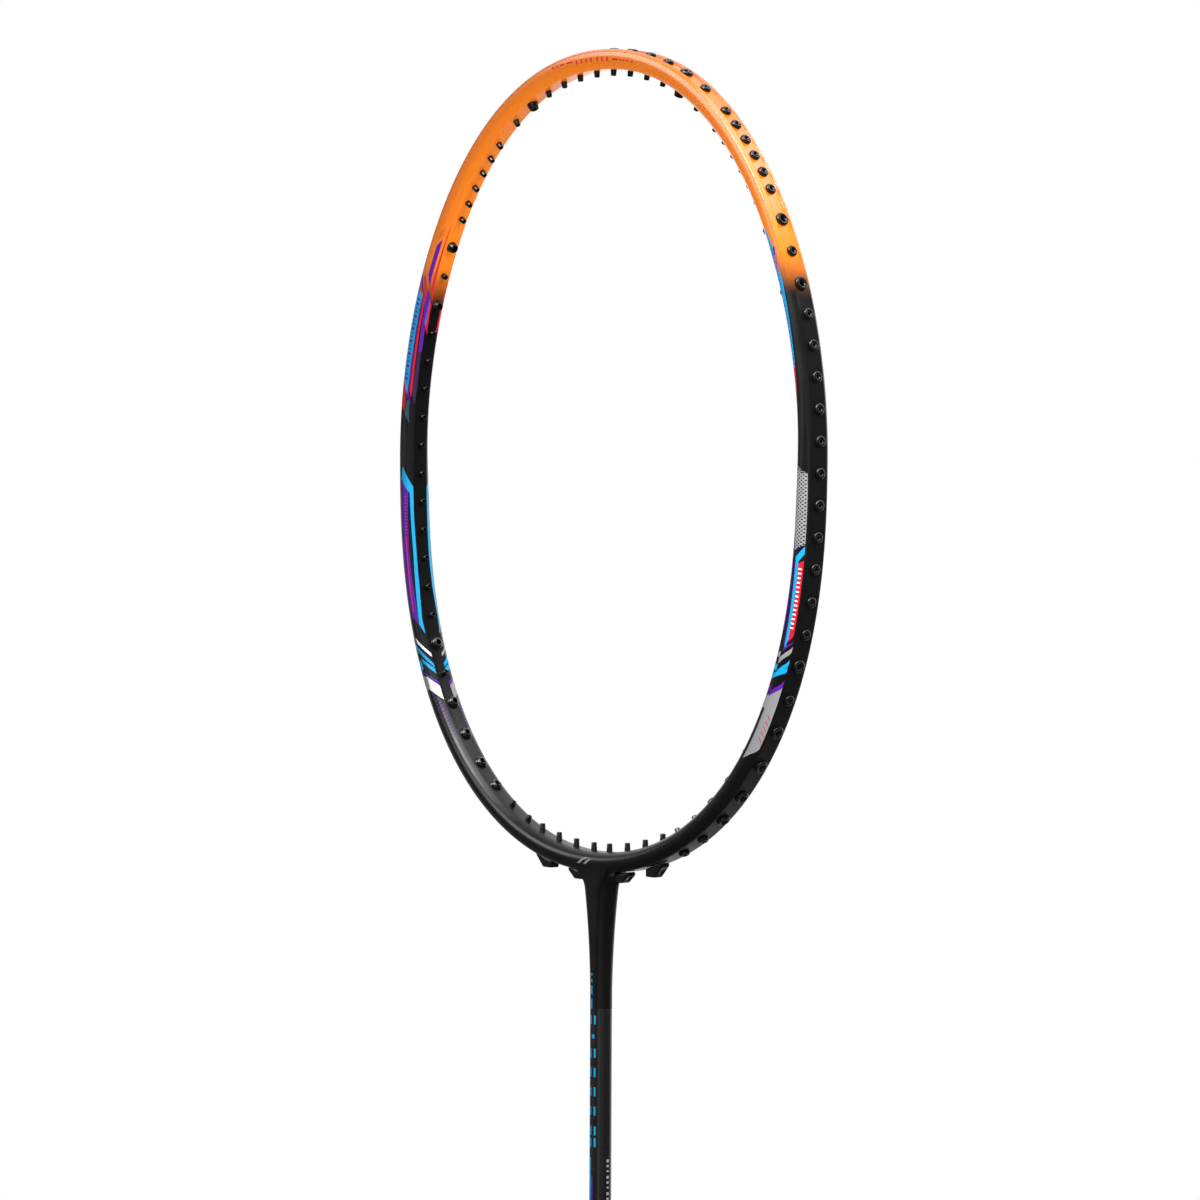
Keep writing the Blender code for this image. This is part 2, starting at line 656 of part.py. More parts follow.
def tack_mesh(name, spare, faces=(1, -1)):
    """Both tacks, grown by spare to make the holes that they sit in."""
    bm = bmesh.new()
    for face in faces:
        rings = []
        for radius, y in tack_profile(spare):
            rings.append(circle(Vector((0, face * y, TACK_Z)), radius, AXIS_X, AXIS_Z, TACK_SIDES))
        add_loft(bm, rings)
    return finish_mesh(name, bm)


def build_tacks():
    for name, face in (("cap_tack_front", 1), ("cap_tack_back", -1)):
        add_piece(name, tack_mesh(name, 0.0, (face,)), "tack_steel")


def build_grip():
    """The wrap, as one sleeve over the core, the cap's skirt and the foot of the cone."""
    heights = (CAP_PLATE + GAP, 8 * MM, 14 * MM, 20 * MM, BUTT_FLARE_HEIGHT, GRIP_TOP_Z)
    outer = [handle_ring(handle_size(z), z, GRIP_GROWTH) for z in heights]
    inner = [handle_ring(handle_size(z), z, GAP) for z in reversed(heights)]
    add_piece("grip_wrap", loft("grip_wrap", outer + inner, closed=True), "grip_pu")


def build_finishing_tape():
    """The tape that laps from the wrap's top end onto the cone."""
    over = GRIP_GROWTH + GAP
    step = GRIP_TOP_Z + GAP
    top_size, top_round = cone_size(TAPE_TOP_Z)
    rings = [
        handle_ring(HANDLE_SIZE, TAPE_BOTTOM_Z, over + TAPE_THICKNESS),
        handle_ring(HANDLE_SIZE, step, over + TAPE_THICKNESS),
        handle_ring(HANDLE_SIZE, CONE_STRAIGHT_Z, GAP + TAPE_THICKNESS),
        handle_ring(top_size, TAPE_TOP_Z, GAP + TAPE_THICKNESS, top_round),
        handle_ring(top_size, TAPE_TOP_Z, GAP, top_round),
        handle_ring(HANDLE_SIZE, CONE_STRAIGHT_Z, GAP),
        handle_ring(HANDLE_SIZE, step, GAP),
        handle_ring(HANDLE_SIZE, step, over),
        handle_ring(HANDLE_SIZE, TAPE_BOTTOM_Z, over),
    ]
    add_piece("finishing_tape", loft("finishing_tape", rings, closed=True), "tape_film")


def build():
    drills = add_cutter("string_holes", all_drills())
    build_head_frame(drills)
    build_t_joint(drills)
    build_shaft()
    for side in (1, -1):
        for holes in grommet_sets():
            add_grommets(holes, side)
    build_handle_core()
    build_cone()
    build_butt_cap()
    build_tacks()
    build_grip()
    build_finishing_tape()


build()
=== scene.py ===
import itertools
import math

import bmesh
import bpy
import numpy as np
from mathutils import Matrix, Vector


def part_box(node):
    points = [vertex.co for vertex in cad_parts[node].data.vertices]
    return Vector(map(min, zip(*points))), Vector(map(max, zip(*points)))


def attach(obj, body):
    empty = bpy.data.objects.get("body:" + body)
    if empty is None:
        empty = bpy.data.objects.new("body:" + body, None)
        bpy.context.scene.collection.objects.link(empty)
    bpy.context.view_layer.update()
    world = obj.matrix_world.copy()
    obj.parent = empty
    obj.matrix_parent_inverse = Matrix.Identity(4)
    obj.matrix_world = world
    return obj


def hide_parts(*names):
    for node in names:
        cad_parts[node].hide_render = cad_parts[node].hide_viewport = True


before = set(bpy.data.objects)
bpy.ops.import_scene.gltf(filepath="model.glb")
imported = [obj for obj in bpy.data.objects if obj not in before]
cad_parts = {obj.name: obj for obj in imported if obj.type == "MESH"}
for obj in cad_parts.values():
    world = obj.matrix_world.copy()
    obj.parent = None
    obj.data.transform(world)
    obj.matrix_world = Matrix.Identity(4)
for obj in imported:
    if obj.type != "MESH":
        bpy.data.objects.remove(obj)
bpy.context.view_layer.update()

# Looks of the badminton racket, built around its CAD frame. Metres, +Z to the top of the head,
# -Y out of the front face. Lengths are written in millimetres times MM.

MM = 0.001
NODES = sorted(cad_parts)
LETTER = {1: "r", -1: "l"}  # of the racket's two sides, as +X and -X

# Hoop
HEAD_HALF_LENGTH = 124.5 * MM
HEAD_HALF_WIDTH = 94.2 * MM
WIDEST_DROP = 1.7 * MM
UPPER_POWERS = (2.12, 2.0)
LOWER_POWERS = (2.08, 2.29)
HALF_TUBE = 3.15 * MM
GROOVE_DEPTH = 0.8 * MM
GROOVE_END = 130 * MM
GROOVE_FADE = 17 * MM
HEAD_CENTRE_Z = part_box("head_frame")[1].z - HALF_TUBE - HEAD_HALF_LENGTH
HOOP_STATIONS = 560

# Corners of the hoop's section, (outward, half depth) in millimetres from the middle of the inner
# face to the middle of the outer face, and how much of each corner is rounded off
SECTION_CORNERS = np.array(((-3.15, 2.7), (-1.2, 4.4), (0.8, 4.6), (2.3, 4.25), (3.15, 2.95)))
SECTION_ROUNDING = np.array((0.55, 0.9, 0.75, 0.3, 0.22))
# Below the middle the section is deeper, and sits a little further in
LOWER_CORNERS = np.array(((-3.65, 2.7), (-2.0, 4.85), (0.1, 4.95), (2.5, 3.75), (2.65, 2.95)))
LOWER_ROUNDING = np.array((0.6, 0.8, 1.0, 0.5, 0.1))
# Nearer the shaft its inner side is smooth
THROAT_ROUNDING = np.array((1.5, 1.15, 1.2, 0.9, 0.1))
LOWER_START, LOWER_FULL = 150 * MM, 190 * MM
SMOOTH_START, SMOOTH_FULL = 234 * MM, 264 * MM
GROOVE_FLOOR_HALF = 2.6
GROOVE_ROUNDING = 0.18
CORNER_STEPS = 5
ROUNDING_LIMIT = 0.48  # of the edge beside a corner
LINE_SAMPLES = 6001
LINE_POINTS = 1400
THROAT_LABEL = 7.25  # where across the section the neck leaves the front face

# Neck and shaft
SHAFT_RADIUS = 3.45 * MM
NECK_LENGTH = 42 * MM
NECK_TAPER = 36 * MM
NECK_FLARE = (2.5 * MM, 1.05 * MM)
NECK_GAP = 0.02 * MM
HOOP_BOTTOM_Z = HEAD_CENTRE_Z - HEAD_HALF_LENGTH - HALF_TUBE
NECK_BOTTOM_Z = HOOP_BOTTOM_Z - NECK_LENGTH
THROAT_HALF_SPAN = 9.0 * MM
THROAT_DROP = 4.6 * MM
THROAT_HANDLES = (0.36, 0.42)  # of the curves from the hoop into the neck, as shares of their reach
THROAT_ROWS = 9
NECK_ROWS = 30
HEAD_SHARP_ANGLE = 40

# String holes of one half, from the top centre down: (how many, arc length to each next one)
HOLE_RUNS = (
    (1, 4.1), (3, 8.3), (1, 8.8), (1, 9.8), (1, 11.4), (5, 6.15), (3, 10.3),
    (9, 9.35), (3, 9.7), (2, 10.7), (2, 12.3), (2, 10.65), (2, 9.35), (3, 8.45),
)
WIDE_HOLES = {5, 13, 15, 27, 29, 30, 31, 32}
BUTTON_HOLES = {27, 29, 30, 31, 32}
PAD_HOLES = {35: 28.2, 36: 24.2, 37: 13.3, 38: 10.1}  # x of their outer ends


# Small helpers

GRAIN_HEIGHT = 0.05 * MM
CLOUD_SHARE = 0.04  # the scale of a surface's clouds of gloss, as a share of its grain's
SHARP_ANGLE, SMOOTH_ANGLE = 35, 50  # degrees between faces that show an edge


def srgb(red, green, blue):
    """A linear colour from 0-255 sRGB values."""
    values = [channel / 255 for channel in (red, green, blue)]
    linear = [v / 12.92 if v <= 0.04045 else ((v + 0.055) / 1.055) ** 2.4 for v in values]
    return (*linear, 1.0)


def add_node(tree, kind, **inputs):
    """A new node, with its sockets set to values or linked to other nodes' outputs."""
    node = tree.nodes.new(kind)
    for name, value in inputs.items():
        set_input(tree, node, name.replace("_", " "), value)
    return node


def set_input(tree, node, name, value):
    socket = node.inputs[name]
    if isinstance(value, bpy.types.NodeSocket):
        tree.links.new(value, socket)
    else:
        socket.default_value = value


def math_node(tree, operation, *values):
    node = tree.nodes.new("ShaderNodeMath")
    node.operation = operation
    for index, value in enumerate(values):
        set_input(tree, node, index, value)
    return node.outputs[0]


def mix_colour(tree, factor, low, high):
    node = tree.nodes.new("ShaderNodeMix")
    node.data_type = "RGBA"
    set_input(tree, node, 0, factor)
    set_input(tree, node, 6, low)
    set_input(tree, node, 7, high)
    return node.outputs[2]


def remap(tree, value, low, high, out_low, out_high, smooth=False):
    node = tree.nodes.new("ShaderNodeMapRange")
    node.interpolation_type = "SMOOTHSTEP" if smooth else "LINEAR"
    for index, number in enumerate((value, low, high, out_low, out_high)):
        set_input(tree, node, index, number)
    return node.outputs[0]


def noise(tree, position, scale, detail=3.0, roughness=0.5):
    node = add_node(
        tree, "ShaderNodeTexNoise",
        Vector=position, Scale=scale, Detail=detail, Roughness=roughness,
    )
    return node.outputs[0]


def varied(tree, position, scale, low, high, detail=3.0, edge=0.3):
    """A value that a noise moves between two others."""
    return remap(tree, noise(tree, position, scale, detail), edge, 1 - edge, low, high)


def bump(tree, height, strength, distance):
    node = add_node(tree, "ShaderNodeBump", Height=height, Strength=strength, Distance=distance)
    return node.outputs[0]


def texture_place(tree, output="Object"):
    return tree.nodes.new("ShaderNodeTexCoord").outputs[output]


def new_material(name, colour, roughness, **settings):
    """A Principled material and what its texture nodes start from."""
    material = bpy.data.materials.new(name)
    material.use_nodes = True
    tree = material.node_tree
    shader = tree.nodes["Principled BSDF"]
    shader.inputs["Base Color"].default_value = colour
    shader.inputs["Roughness"].default_value = roughness
    for key, value in settings.items():
        shader.inputs[key.replace("_", " ")].default_value = value
    return material, tree, shader, texture_place(tree)


def speckled(name, colour, roughness, scale, spread, peel, **settings):
    """A moulded or printed surface: its colour and gloss vary a little over a fine grain."""
    material, tree, shader, position = new_material(name, colour, roughness, **settings)
    grain = noise(tree, position, scale)
    dark = tuple(c * (1 - spread) for c in colour[:3]) + (1.0,)
    light = tuple(min(c * (1 + spread), 1) for c in colour[:3]) + (1.0,)
    set_input(tree, shader, "Base Color", mix_colour(tree, grain, dark, light))
    low, high = roughness * 0.85, roughness * 1.15
    set_input(tree, shader, "Roughness", varied(tree, position, scale * CLOUD_SHARE, low, high))
    set_input(tree, shader, "Normal", bump(tree, grain, peel, GRAIN_HEIGHT))
    return material


# Making pieces


def smooth(mesh, sharp_angle):
    mesh.shade_smooth()
    mesh.set_sharp_from_angle(angle=math.radians(sharp_angle))


def make_mesh(name, vertices, faces, sharp_angle=SHARP_ANGLE, uvs=None):
    mesh = bpy.data.meshes.new(name)
    mesh.from_pydata([tuple(v) for v in vertices], [], faces)
    if uvs is not None:
        layer = mesh.uv_layers.new(name="UVMap")
        for loop in mesh.loops:
            layer.data[loop.index].uv = uvs[loop.vertex_index]
    bm = bmesh.new()
    bm.from_mesh(mesh)
    bmesh.ops.recalc_face_normals(bm, faces=bm.faces)
    bm.to_mesh(mesh)
    bm.free()
    smooth(mesh, sharp_angle)
    return mesh


def add_object(name, data):
    item = bpy.data.objects.new(name, data)
    bpy.context.scene.collection.objects.link(item)
    return item


def add_piece(name, mesh, material, replaces=()):
    piece = add_object(name, mesh)
    mesh.materials.append(material)
    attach(piece, "root")
    if replaces:
        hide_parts(*replaces)
    return piece


def subtract(piece, mesh):
    """Cuts a mesh of closed, separate bodies out of a piece."""
    cutter = add_object("cutter", mesh)
    modifier = piece.modifiers.new("cut", "BOOLEAN")
    modifier.operation = "DIFFERENCE"
    modifier.solver = "EXACT"
    modifier.object = cutter
    bpy.context.view_layer.update()
    graph = bpy.context.evaluated_depsgraph_get()
    cut = bpy.data.meshes.new_from_object(piece.evaluated_get(graph))
    piece.modifiers.clear()
    cut.name = piece.data.name
    piece.data = cut
    bpy.data.objects.remove(cutter)


def grid_faces(rows, columns, wrap_rows=False, wrap_columns=True, first=0):
    """Quads over a grid of vertices stored row by row."""
    faces = []
    for i in range(rows if wrap_rows else rows - 1):
        for j in range(columns if wrap_columns else columns - 1):
            right = (j + 1) % columns
            low, high = first + i * columns, first + (i + 1) % rows * columns
            faces.append((low + j, low + right, high + right, high + j))
    return faces


def loft_mesh(name, rings, joined=False, sharp_angle=SHARP_ANGLE, uvs=None):
    """A skin over rings of equally many points, joined end to end or capped at both ends."""
    rows, columns = len(rings), len(rings[0])
    vertices = [point for ring in rings for point in ring]
    faces = grid_faces(rows, columns, wrap_rows=joined)
    if not joined:
        faces.append(tuple(range(columns)))
        faces.append(tuple(range((rows - 1) * columns, rows * columns)))
    return make_mesh(name, vertices, faces, sharp_angle, uvs)


def turned_rings(base, out, profile, sides):
    """Rings of a body turned about the line from base along out, from (radius, distance) points."""
    across = np.cross(out, (0.0, 1.0, 0.0))
    up = np.cross(across, out)
    turn = 2 * math.pi * (np.arange(sides) + 0.5) / sides
    spokes = np.outer(np.cos(turn), across) + np.outer(np.sin(turn), up)
    return [base + out * distance + spokes * radius for radius, distance in profile]


def closed_tubes(name, tubes, sides):
    """Round bodies with flat ends, from (base, out, two-point profile) each, as one mesh."""
    vertices, faces = [], []
    for base, out, profile in tubes:
        first = len(vertices)
        vertices.extend(point for ring in turned_rings(base, out, profile, sides) for point in ring)
        faces.extend(grid_faces(2, sides, first=first))
        faces.append(tuple(range(first, first + sides)))
        faces.append(tuple(range(first + sides, first + 2 * sides)))
    return make_mesh(name, vertices, faces)


# The hoop's surface


def half_centreline():
    """(x, z, arc) along the right half, from the top centre to the bottom, at even arcs."""
    turn = np.linspace(0, math.pi, LINE_SAMPLES)
    upper = turn <= math.pi / 2
    x_power = np.where(upper, UPPER_POWERS[0], LOWER_POWERS[0])
    z_power = np.where(upper, UPPER_POWERS[1], LOWER_POWERS[1])
    reach = np.where(upper, HEAD_HALF_LENGTH + WIDEST_DROP, HEAD_HALF_LENGTH - WIDEST_DROP)
    x = HEAD_HALF_WIDTH * np.clip(np.sin(turn), 0, 1) ** (2 / x_power)
    z = reach * np.sign(np.cos(turn)) * np.abs(np.cos(turn)) ** (2 / z_power) - WIDEST_DROP
    arc = np.concatenate([[0], np.cumsum(np.hypot(np.diff(x), np.diff(z)))])
    even = np.linspace(0, arc[-1], LINE_POINTS)
    return np.interp(even, arc, x), np.interp(even, arc, z), even


LINE_X, LINE_Z, LINE_ARC = half_centreline()
HALF_ARC = float(LINE_ARC[-1])


def line_normals():
    """Outward unit normals of the centreline, level at its two ends."""
    run_x, run_z = np.gradient(LINE_X), np.gradient(LINE_Z)
    run_z[0] = run_z[-1] = 0.0
    length = np.hypot(run_x, run_z)
    return -run_z / length, run_x / length


NORMAL_X, NORMAL_Z = line_normals()


def hoop(arc, outward, depth):
    """Points at a signed arc from the top centre (right of it positive), past the bottom too."""
    values = [np.asarray(value, float) for value in (arc, outward, depth)]
    arc, outward, depth = np.broadcast_arrays(*values)
    arc = np.where(arc > HALF_ARC, arc - 2 * HALF_ARC, arc)
    side = np.where(arc < 0, -1.0, 1.0)
    along = np.abs(arc)
    x = np.interp(along, LINE_ARC, LINE_X) + np.interp(along, LINE_ARC, NORMAL_X) * outward
    z = np.interp(along, LINE_ARC, LINE_Z) + np.interp(along, LINE_ARC, NORMAL_Z) * outward
    return np.stack([side * x, depth, HEAD_CENTRE_Z + z], -1)


def groove_depth(arc):
    return GROOVE_DEPTH * np.clip((GROOVE_END - np.abs(arc)) / GROOVE_FADE, 0, 1)


def ramp(value, start, full):
    share = min(max((value - start) / (full - start), 0.0), 1.0)
    return share * share * (3 - 2 * share)


def section_shape(arc):
    """(corners, how much each is rounded) of the section at an arc from the top centre."""
    lower, smooth = ramp(arc, LOWER_START, LOWER_FULL), ramp(arc, SMOOTH_START, SMOOTH_FULL)
    corners = SECTION_CORNERS + (LOWER_CORNERS - SECTION_CORNERS) * lower
    rounding = SECTION_ROUNDING + (LOWER_ROUNDING - SECTION_ROUNDING) * lower
    return corners, rounding + (THROAT_ROUNDING - rounding) * smooth


def label_marks():
    """The corners' labels: the way round in millimetres from the middle of the inner face."""
    points = np.array([(SECTION_CORNERS[0, 0], 0.0), *SECTION_CORNERS])
    return np.concatenate([[0], np.cumsum(np.hypot(*np.diff(points, axis=0).T))])


CORNER_LABELS = label_marks()


def half_section(arc):
    """(label, outward, half depth) along half the section at an arc, in millimetres."""
    corners, rounding = section_shape(arc)
    floor = corners[-1, 0] - groove_depth(arc) / MM
    points = np.array([(corners[0, 0], 0.0), *corners, (floor, GROOVE_FLOOR_HALF), (floor, 0.0)])
    trims = [*rounding, GROOVE_ROUNDING]
    edge = CORNER_LABELS[-1]
    step = edge + np.hypot(*(points[-2] - points[-3]))
    labels = np.array([*CORNER_LABELS, step, step + GROOVE_FLOOR_HALF])
    outline = [(0.0, *points[0])]
    for k, trim in enumerate(trims, start=1):
        sides = [points[j] - points[k] for j in (k - 1, k + 1)]
        lengths = [np.linalg.norm(side) for side in sides]
        before, after = (side / length for side, length in zip(sides, lengths))
        cut = [min(trim, ROUNDING_LIMIT * length) for length in lengths]
        share = [size / length for size, length in zip(cut, lengths)]
        for step in range(CORNER_STEPS + 1):
            t = step / CORNER_STEPS
            x, y = points[k] + before * cut[0] * (1 - t) ** 2 + after * cut[1] * t**2
            label = labels[k] + (labels[k - 1] - labels[k]) * share[0] * (1 - t)
            outline.append((label + (labels[k + 1] - labels[k]) * share[1] * t, x, y))
    outline.append((labels[-1], *points[-1]))
    return np.array(outline)


# The same sections on an even grid of arcs and labels, for placing marks on the skin
GRID_ARCS = np.linspace(0, HALF_ARC, 360)
GRID_LABELS = np.linspace(0, CORNER_LABELS[-1], 220)
SLOPE_STEP = 0.05  # how far apart in labels the skin's slope is measured


def section_grid():
    tables = []
    for arc in GRID_ARCS:
        half = half_section(arc)
        tables.append([np.interp(GRID_LABELS, half[:, 0], half[:, k]) for k in (1, 2)])
    return np.array(tables)


SECTION_GRID = section_grid()


def section_point(arc, label):
    """(outward, half depth) in millimetres at arcs and labels."""
    row = np.clip(np.abs(arc) / HALF_ARC, 0, 1) * (len(GRID_ARCS) - 1)
    column = np.clip(label / CORNER_LABELS[-1], 0, 1) * (len(GRID_LABELS) - 1)
    i = np.minimum(row.astype(int), len(GRID_ARCS) - 2)
    j = np.minimum(column.astype(int), len(GRID_LABELS) - 2)
    a, b = row - i, column - j
    values = []
    for k in (0, 1):
        table = SECTION_GRID[:, k]
        low = table[i, j] * (1 - b) + table[i, j + 1] * b
        high = table[i + 1, j] * (1 - b) + table[i + 1, j + 1] * b
        values.append(low * (1 - a) + high * a)
    return values


def surface(arc, label, lift=0.0, back=False):
    """Points on the hoop's skin, raised by lift."""
    arc, label = np.broadcast_arrays(np.asarray(arc, float), np.asarray(label, float))
    places = [section_point(arc, label + shift) for shift in (-SLOPE_STEP, 0, SLOPE_STEP)]
    run_out, run_deep = places[2][0] - places[0][0], places[2][1] - places[0][1]
    length = np.maximum(np.hypot(run_out, run_deep), 1e-9)
    outward = places[1][0] * MM - run_deep / length * lift
    deep = places[1][1] * MM + run_out / length * lift
    return hoop(arc, outward, deep if back else -deep)


def neck_ring(drop, angles):
    """A ring of the neck at a drop below the hoop, squarish above and round below."""
    taper = max(1 - drop / NECK_TAPER, 0)
    width, depth = (SHAFT_RADIUS + flare * taper**2 for flare in NECK_FLARE)
    power = 2 / (2 + taper)
    c, s = np.cos(angles), np.sin(angles)
    x = width * np.sign(c) * np.abs(c) ** power
    y = depth * np.sign(s) * np.abs(s) ** power
    return np.stack([x, y, np.full_like(x, HOOP_BOTTOM_Z - drop)], -1)


def head_mesh():
    """The hoop with the neck grown out of its underside, as one closed skin."""
    arcs = 2 * HALF_ARC * np.arange(HOOP_STATIONS) / HOOP_STATIONS
    rings = []
    for arc in arcs:
        half = half_section(min(arc, 2 * HALF_ARC - arc))
        outward = np.concatenate([half[:, 1], half[-2:0:-1, 1]]) * MM
        depth = np.concatenate([-half[:, 2], half[-2:0:-1, 2]]) * MM
        rings.append(hoop(arc, outward, depth))
    columns = len(rings[0])
    vertices = [point for ring in rings for point in ring]
    front = int(np.argmin(np.abs(half_section(HALF_ARC)[:, 0] - THROAT_LABEL)))
    back = columns - front
    span = round(THROAT_HALF_SPAN / (2 * HALF_ARC / HOOP_STATIONS))
    middle = HOOP_STATIONS // 2
    first, last = middle - span, middle + span
    faces = []
    for i in range(HOOP_STATIONS):
        for j in range(columns):
            if first <= i < last and front <= j < back:
                continue  # the neck's opening
            low, high = i * columns, (i + 1) % HOOP_STATIONS * columns
            right = (j + 1) % columns
            faces.append((low + j, low + right, high + right, high + j))

    # The opening's edge, from the right front corner over the front to the left, and round the back
    edge = [(i, front, 0, -1) for i in range(first, last)]
    edge += [(last, j, 1, 0) for j in range(front, back)]
    edge += [(i, back, 0, 1) for i in range(last, first, -1)]
    edge += [(first, j, -1, 0) for j in range(back, front, -1)]
    loop = [i * columns + j for i, j, _, _ in edge]
    starts = np.array([vertices[v] for v in loop])
    outside = np.array([vertices[(i + di) * columns + j + dj] for i, j, di, dj in edge])
    leave = starts - outside
    leave /= np.linalg.norm(leave, axis=1, keepdims=True)
    wide, deep = last - first, back - front
    for corner in (0, wide, wide + deep, 2 * wide + deep):
        blend = leave[corner - 1] + leave[(corner + 1) % len(edge)]
        leave[corner] = blend / np.linalg.norm(blend)
    quarter = []
    for side, count in enumerate((wide, deep) * 2):
        quarter.extend(side + np.arange(count) / count)
    angles = -math.pi / 4 - math.pi / 2 * np.array(quarter)
    ends = neck_ring(THROAT_DROP, angles)
    reach = np.linalg.norm(ends - starts, axis=1, keepdims=True)
    up = neck_ring(THROAT_DROP - 0.5 * MM, angles) - ends
    up /= np.linalg.norm(up, axis=1, keepdims=True)
    rows = [loop]

    def add_row(points):
        rows.append(list(range(len(vertices), len(vertices) + len(loop))))
        vertices.extend(points)

    for row in range(1, THROAT_ROWS + 1):
        t = row / THROAT_ROWS
        add_row(
            starts * (1 - t) ** 3
            + 3 * (starts + leave * reach * THROAT_HANDLES[0]) * t * (1 - t) ** 2
            + 3 * (ends + up * reach * THROAT_HANDLES[1]) * t**2 * (1 - t)
            + ends * t**3
        )
    for row in range(1, NECK_ROWS + 1):
        drop = THROAT_DROP + (NECK_LENGTH - NECK_GAP - THROAT_DROP) * row / NECK_ROWS
        add_row(neck_ring(drop, angles))
    for low, high in zip(rows, rows[1:]):
        for j in range(len(loop)):
            right = (j + 1) % len(loop)
            faces.append((low[j], low[right], high[right], high[j]))
    faces.append(tuple(rows[-1]))
    return make_mesh("head_frame_skin", vertices, faces, HEAD_SHARP_ANGLE)


# String holes and grommets

# By whether the hole is a wide one
BARREL_RADIUS = {False: 0.98 * MM, True: 1.85 * MM}
BARREL_TIP = {False: 0.84 * MM, True: 1.45 * MM}
BARREL_REACH = {False: 1.9 * MM, True: 2.1 * MM}
BORE_RADIUS = {False: 0.5 * MM, True: 0.85 * MM}
FLANGE_RADIUS = {False: 1.75 * MM, True: 2.15 * MM}
FLANGE_BORE = {False: 0.62 * MM, True: 1.0 * MM}

FLANGE_HEIGHT = 1.1 * MM
PAD_BARREL_REACH = 2.6 * MM
BUTTON_HEIGHT = 1.4 * MM
SHORTER_BELOW = 100 * MM  # the barrels past this arc stand out a little less
SHORTER_BY = 0.3 * MM
GROMMET_SIDES = 24
UP, DOWN = np.array([0.0, 0.0, 1.0]), np.array([0.0, 0.0, -1.0])
DRILL_SIDES, DRILL_PLAY = 16, 0.02 * MM


def hole_arcs():
    arcs, arc = {}, 0.0
    for count, spacing in HOLE_RUNS:
        for _ in range(count):
            arc += spacing * MM
            arcs[len(arcs) + 1] = arc
    return arcs


HOLES = hole_arcs()


def hole_line(hole, side):
    """The middle of a hole on the centreline, and its direction out of the hoop."""
    base = hoop(side * HOLES[hole], 0.0, 0.0)
    if hole in PAD_HOLES:
        return base, DOWN
    out = hoop(side * HOLES[hole], 1.0, 0.0) - base
    return base, out / np.linalg.norm(out)


def drills():
    """All the holes through the hoop, as one mesh of separate bodies."""
    tubes = []
    for side in (1, -1):
        for hole in HOLES:
            radius = BARREL_RADIUS[hole in WIDE_HOLES] - DRILL_PLAY
            far = -0.4 * MM if hole in PAD_HOLES else HALF_TUBE + 1 * MM
            tubes.append((*hole_line(hole, side), ((radius, -HALF_TUBE - 1.2 * MM), (radius, far))))
    return closed_tubes("drills", tubes, DRILL_SIDES)


def grommet_profile(hole):
    """(radius, distance) round a grommet: out along its barrel and flange, back down its bore."""
    wide = hole in WIDE_HOLES
    barrel, tip, bore = BARREL_RADIUS[wide], BARREL_TIP[wide], BORE_RADIUS[wide]
    corners, _ = section_shape(HOLES[hole])
    inner, outer = corners[0, 0] * MM, corners[-1, 0] * MM
    if hole in BUTTON_HOLES:
        end = inner - BUTTON_HEIGHT
        profile = [
            (bore + 0.25 * MM, end), (1.2 * MM, end + 0.06 * MM), (1.6 * MM, end + 0.24 * MM),
            (1.9 * MM, end + 0.55 * MM), (2.1 * MM, inner - 0.3 * MM),
            (2.12 * MM, inner + 0.04 * MM), (barrel, inner + 0.05 * MM),
        ]
    else:
        end = inner - (PAD_BARREL_REACH if hole in PAD_HOLES else BARREL_REACH[wide])
        if SHORTER_BELOW < HOLES[hole] and hole not in PAD_HOLES:
            end += SHORTER_BY
        nose = 0.35 * (tip - bore)
        profile = [
            (tip - nose, end), (tip - 0.3 * nose, end + 0.3 * nose), (tip, end + nose),
            (barrel, inner + 0.1 * MM),
        ]
    if hole in PAD_HOLES:
        inside = -0.5 * MM
        return profile + [(barrel, inside), (bore, inside), (bore, end + 0.1 * MM)]
    seat = outer - float(groove_depth(HOLES[hole]))
    flange, mouth, top = FLANGE_RADIUS[wide], FLANGE_BORE[wide], seat + FLANGE_HEIGHT
    return profile + [
        (barrel, seat - 0.05 * MM), (flange - 0.12 * MM, seat), (flange, seat + 0.15 * MM),
        (flange - 0.04 * MM, top - 0.42 * MM), (flange - 0.16 * MM, top - 0.2 * MM),
        (flange - 0.42 * MM, top - 0.03 * MM), (0.5 * (flange + mouth) + 0.02 * MM, top),
        (mouth + 0.2 * MM, top - 0.06 * MM), (mouth, top - 0.3 * MM), (bore, top - 0.6 * MM),
        (bore, end + 0.1 * MM),
    ]


def node_of_hole(hole, side):
    """The CAD node that this hole's grommet belongs to, from the hole numbers in its name."""
    start = f"grommet_{LETTER[side]}_"
    for node in NODES:
        if node.startswith(start):
            numbers = [int(text) for text in node[len(start):].split("_")]
            if numbers[0] <= hole <= numbers[-1]:
                return node
    raise ValueError(f"no grommet node for hole {hole}")


def build_grommets(material):
    for side in (1, -1):
        for hole in HOLES:
            base, out = hole_line(hole, side)
            rings = turned_rings(base, out, grommet_profile(hole), GROMMET_SIDES)
            name = f"grommet_skin_{LETTER[side]}_{hole:02d}"
            mesh = loft_mesh(name, rings, True, SMOOTH_ANGLE)
            add_piece(name, mesh, material, (node_of_hole(hole, side),))


# (inner x, where the flat underside ends, outer x, drop at the inner end, drop at the outer end)
PAD_SHAPES = {
    35: (22.3, 26.5, 29.9, 2.25, 0.75),
    37: (7.6, 11.3, 14.2, 2.6, 0.85),
}
PAD_HALF_DEPTH = 1.75 * MM
PAD_SUNK = 0.3 * MM  # how far the pads reach into the hoop
PAD_ROUNDING = 0.5 * MM
PAD_BORE = ((0.6 * MM, -0.1 * MM), (0.6 * MM, 4 * MM))  # (radius, distance) at its two ends
PAD_BORE_SIDES = 20


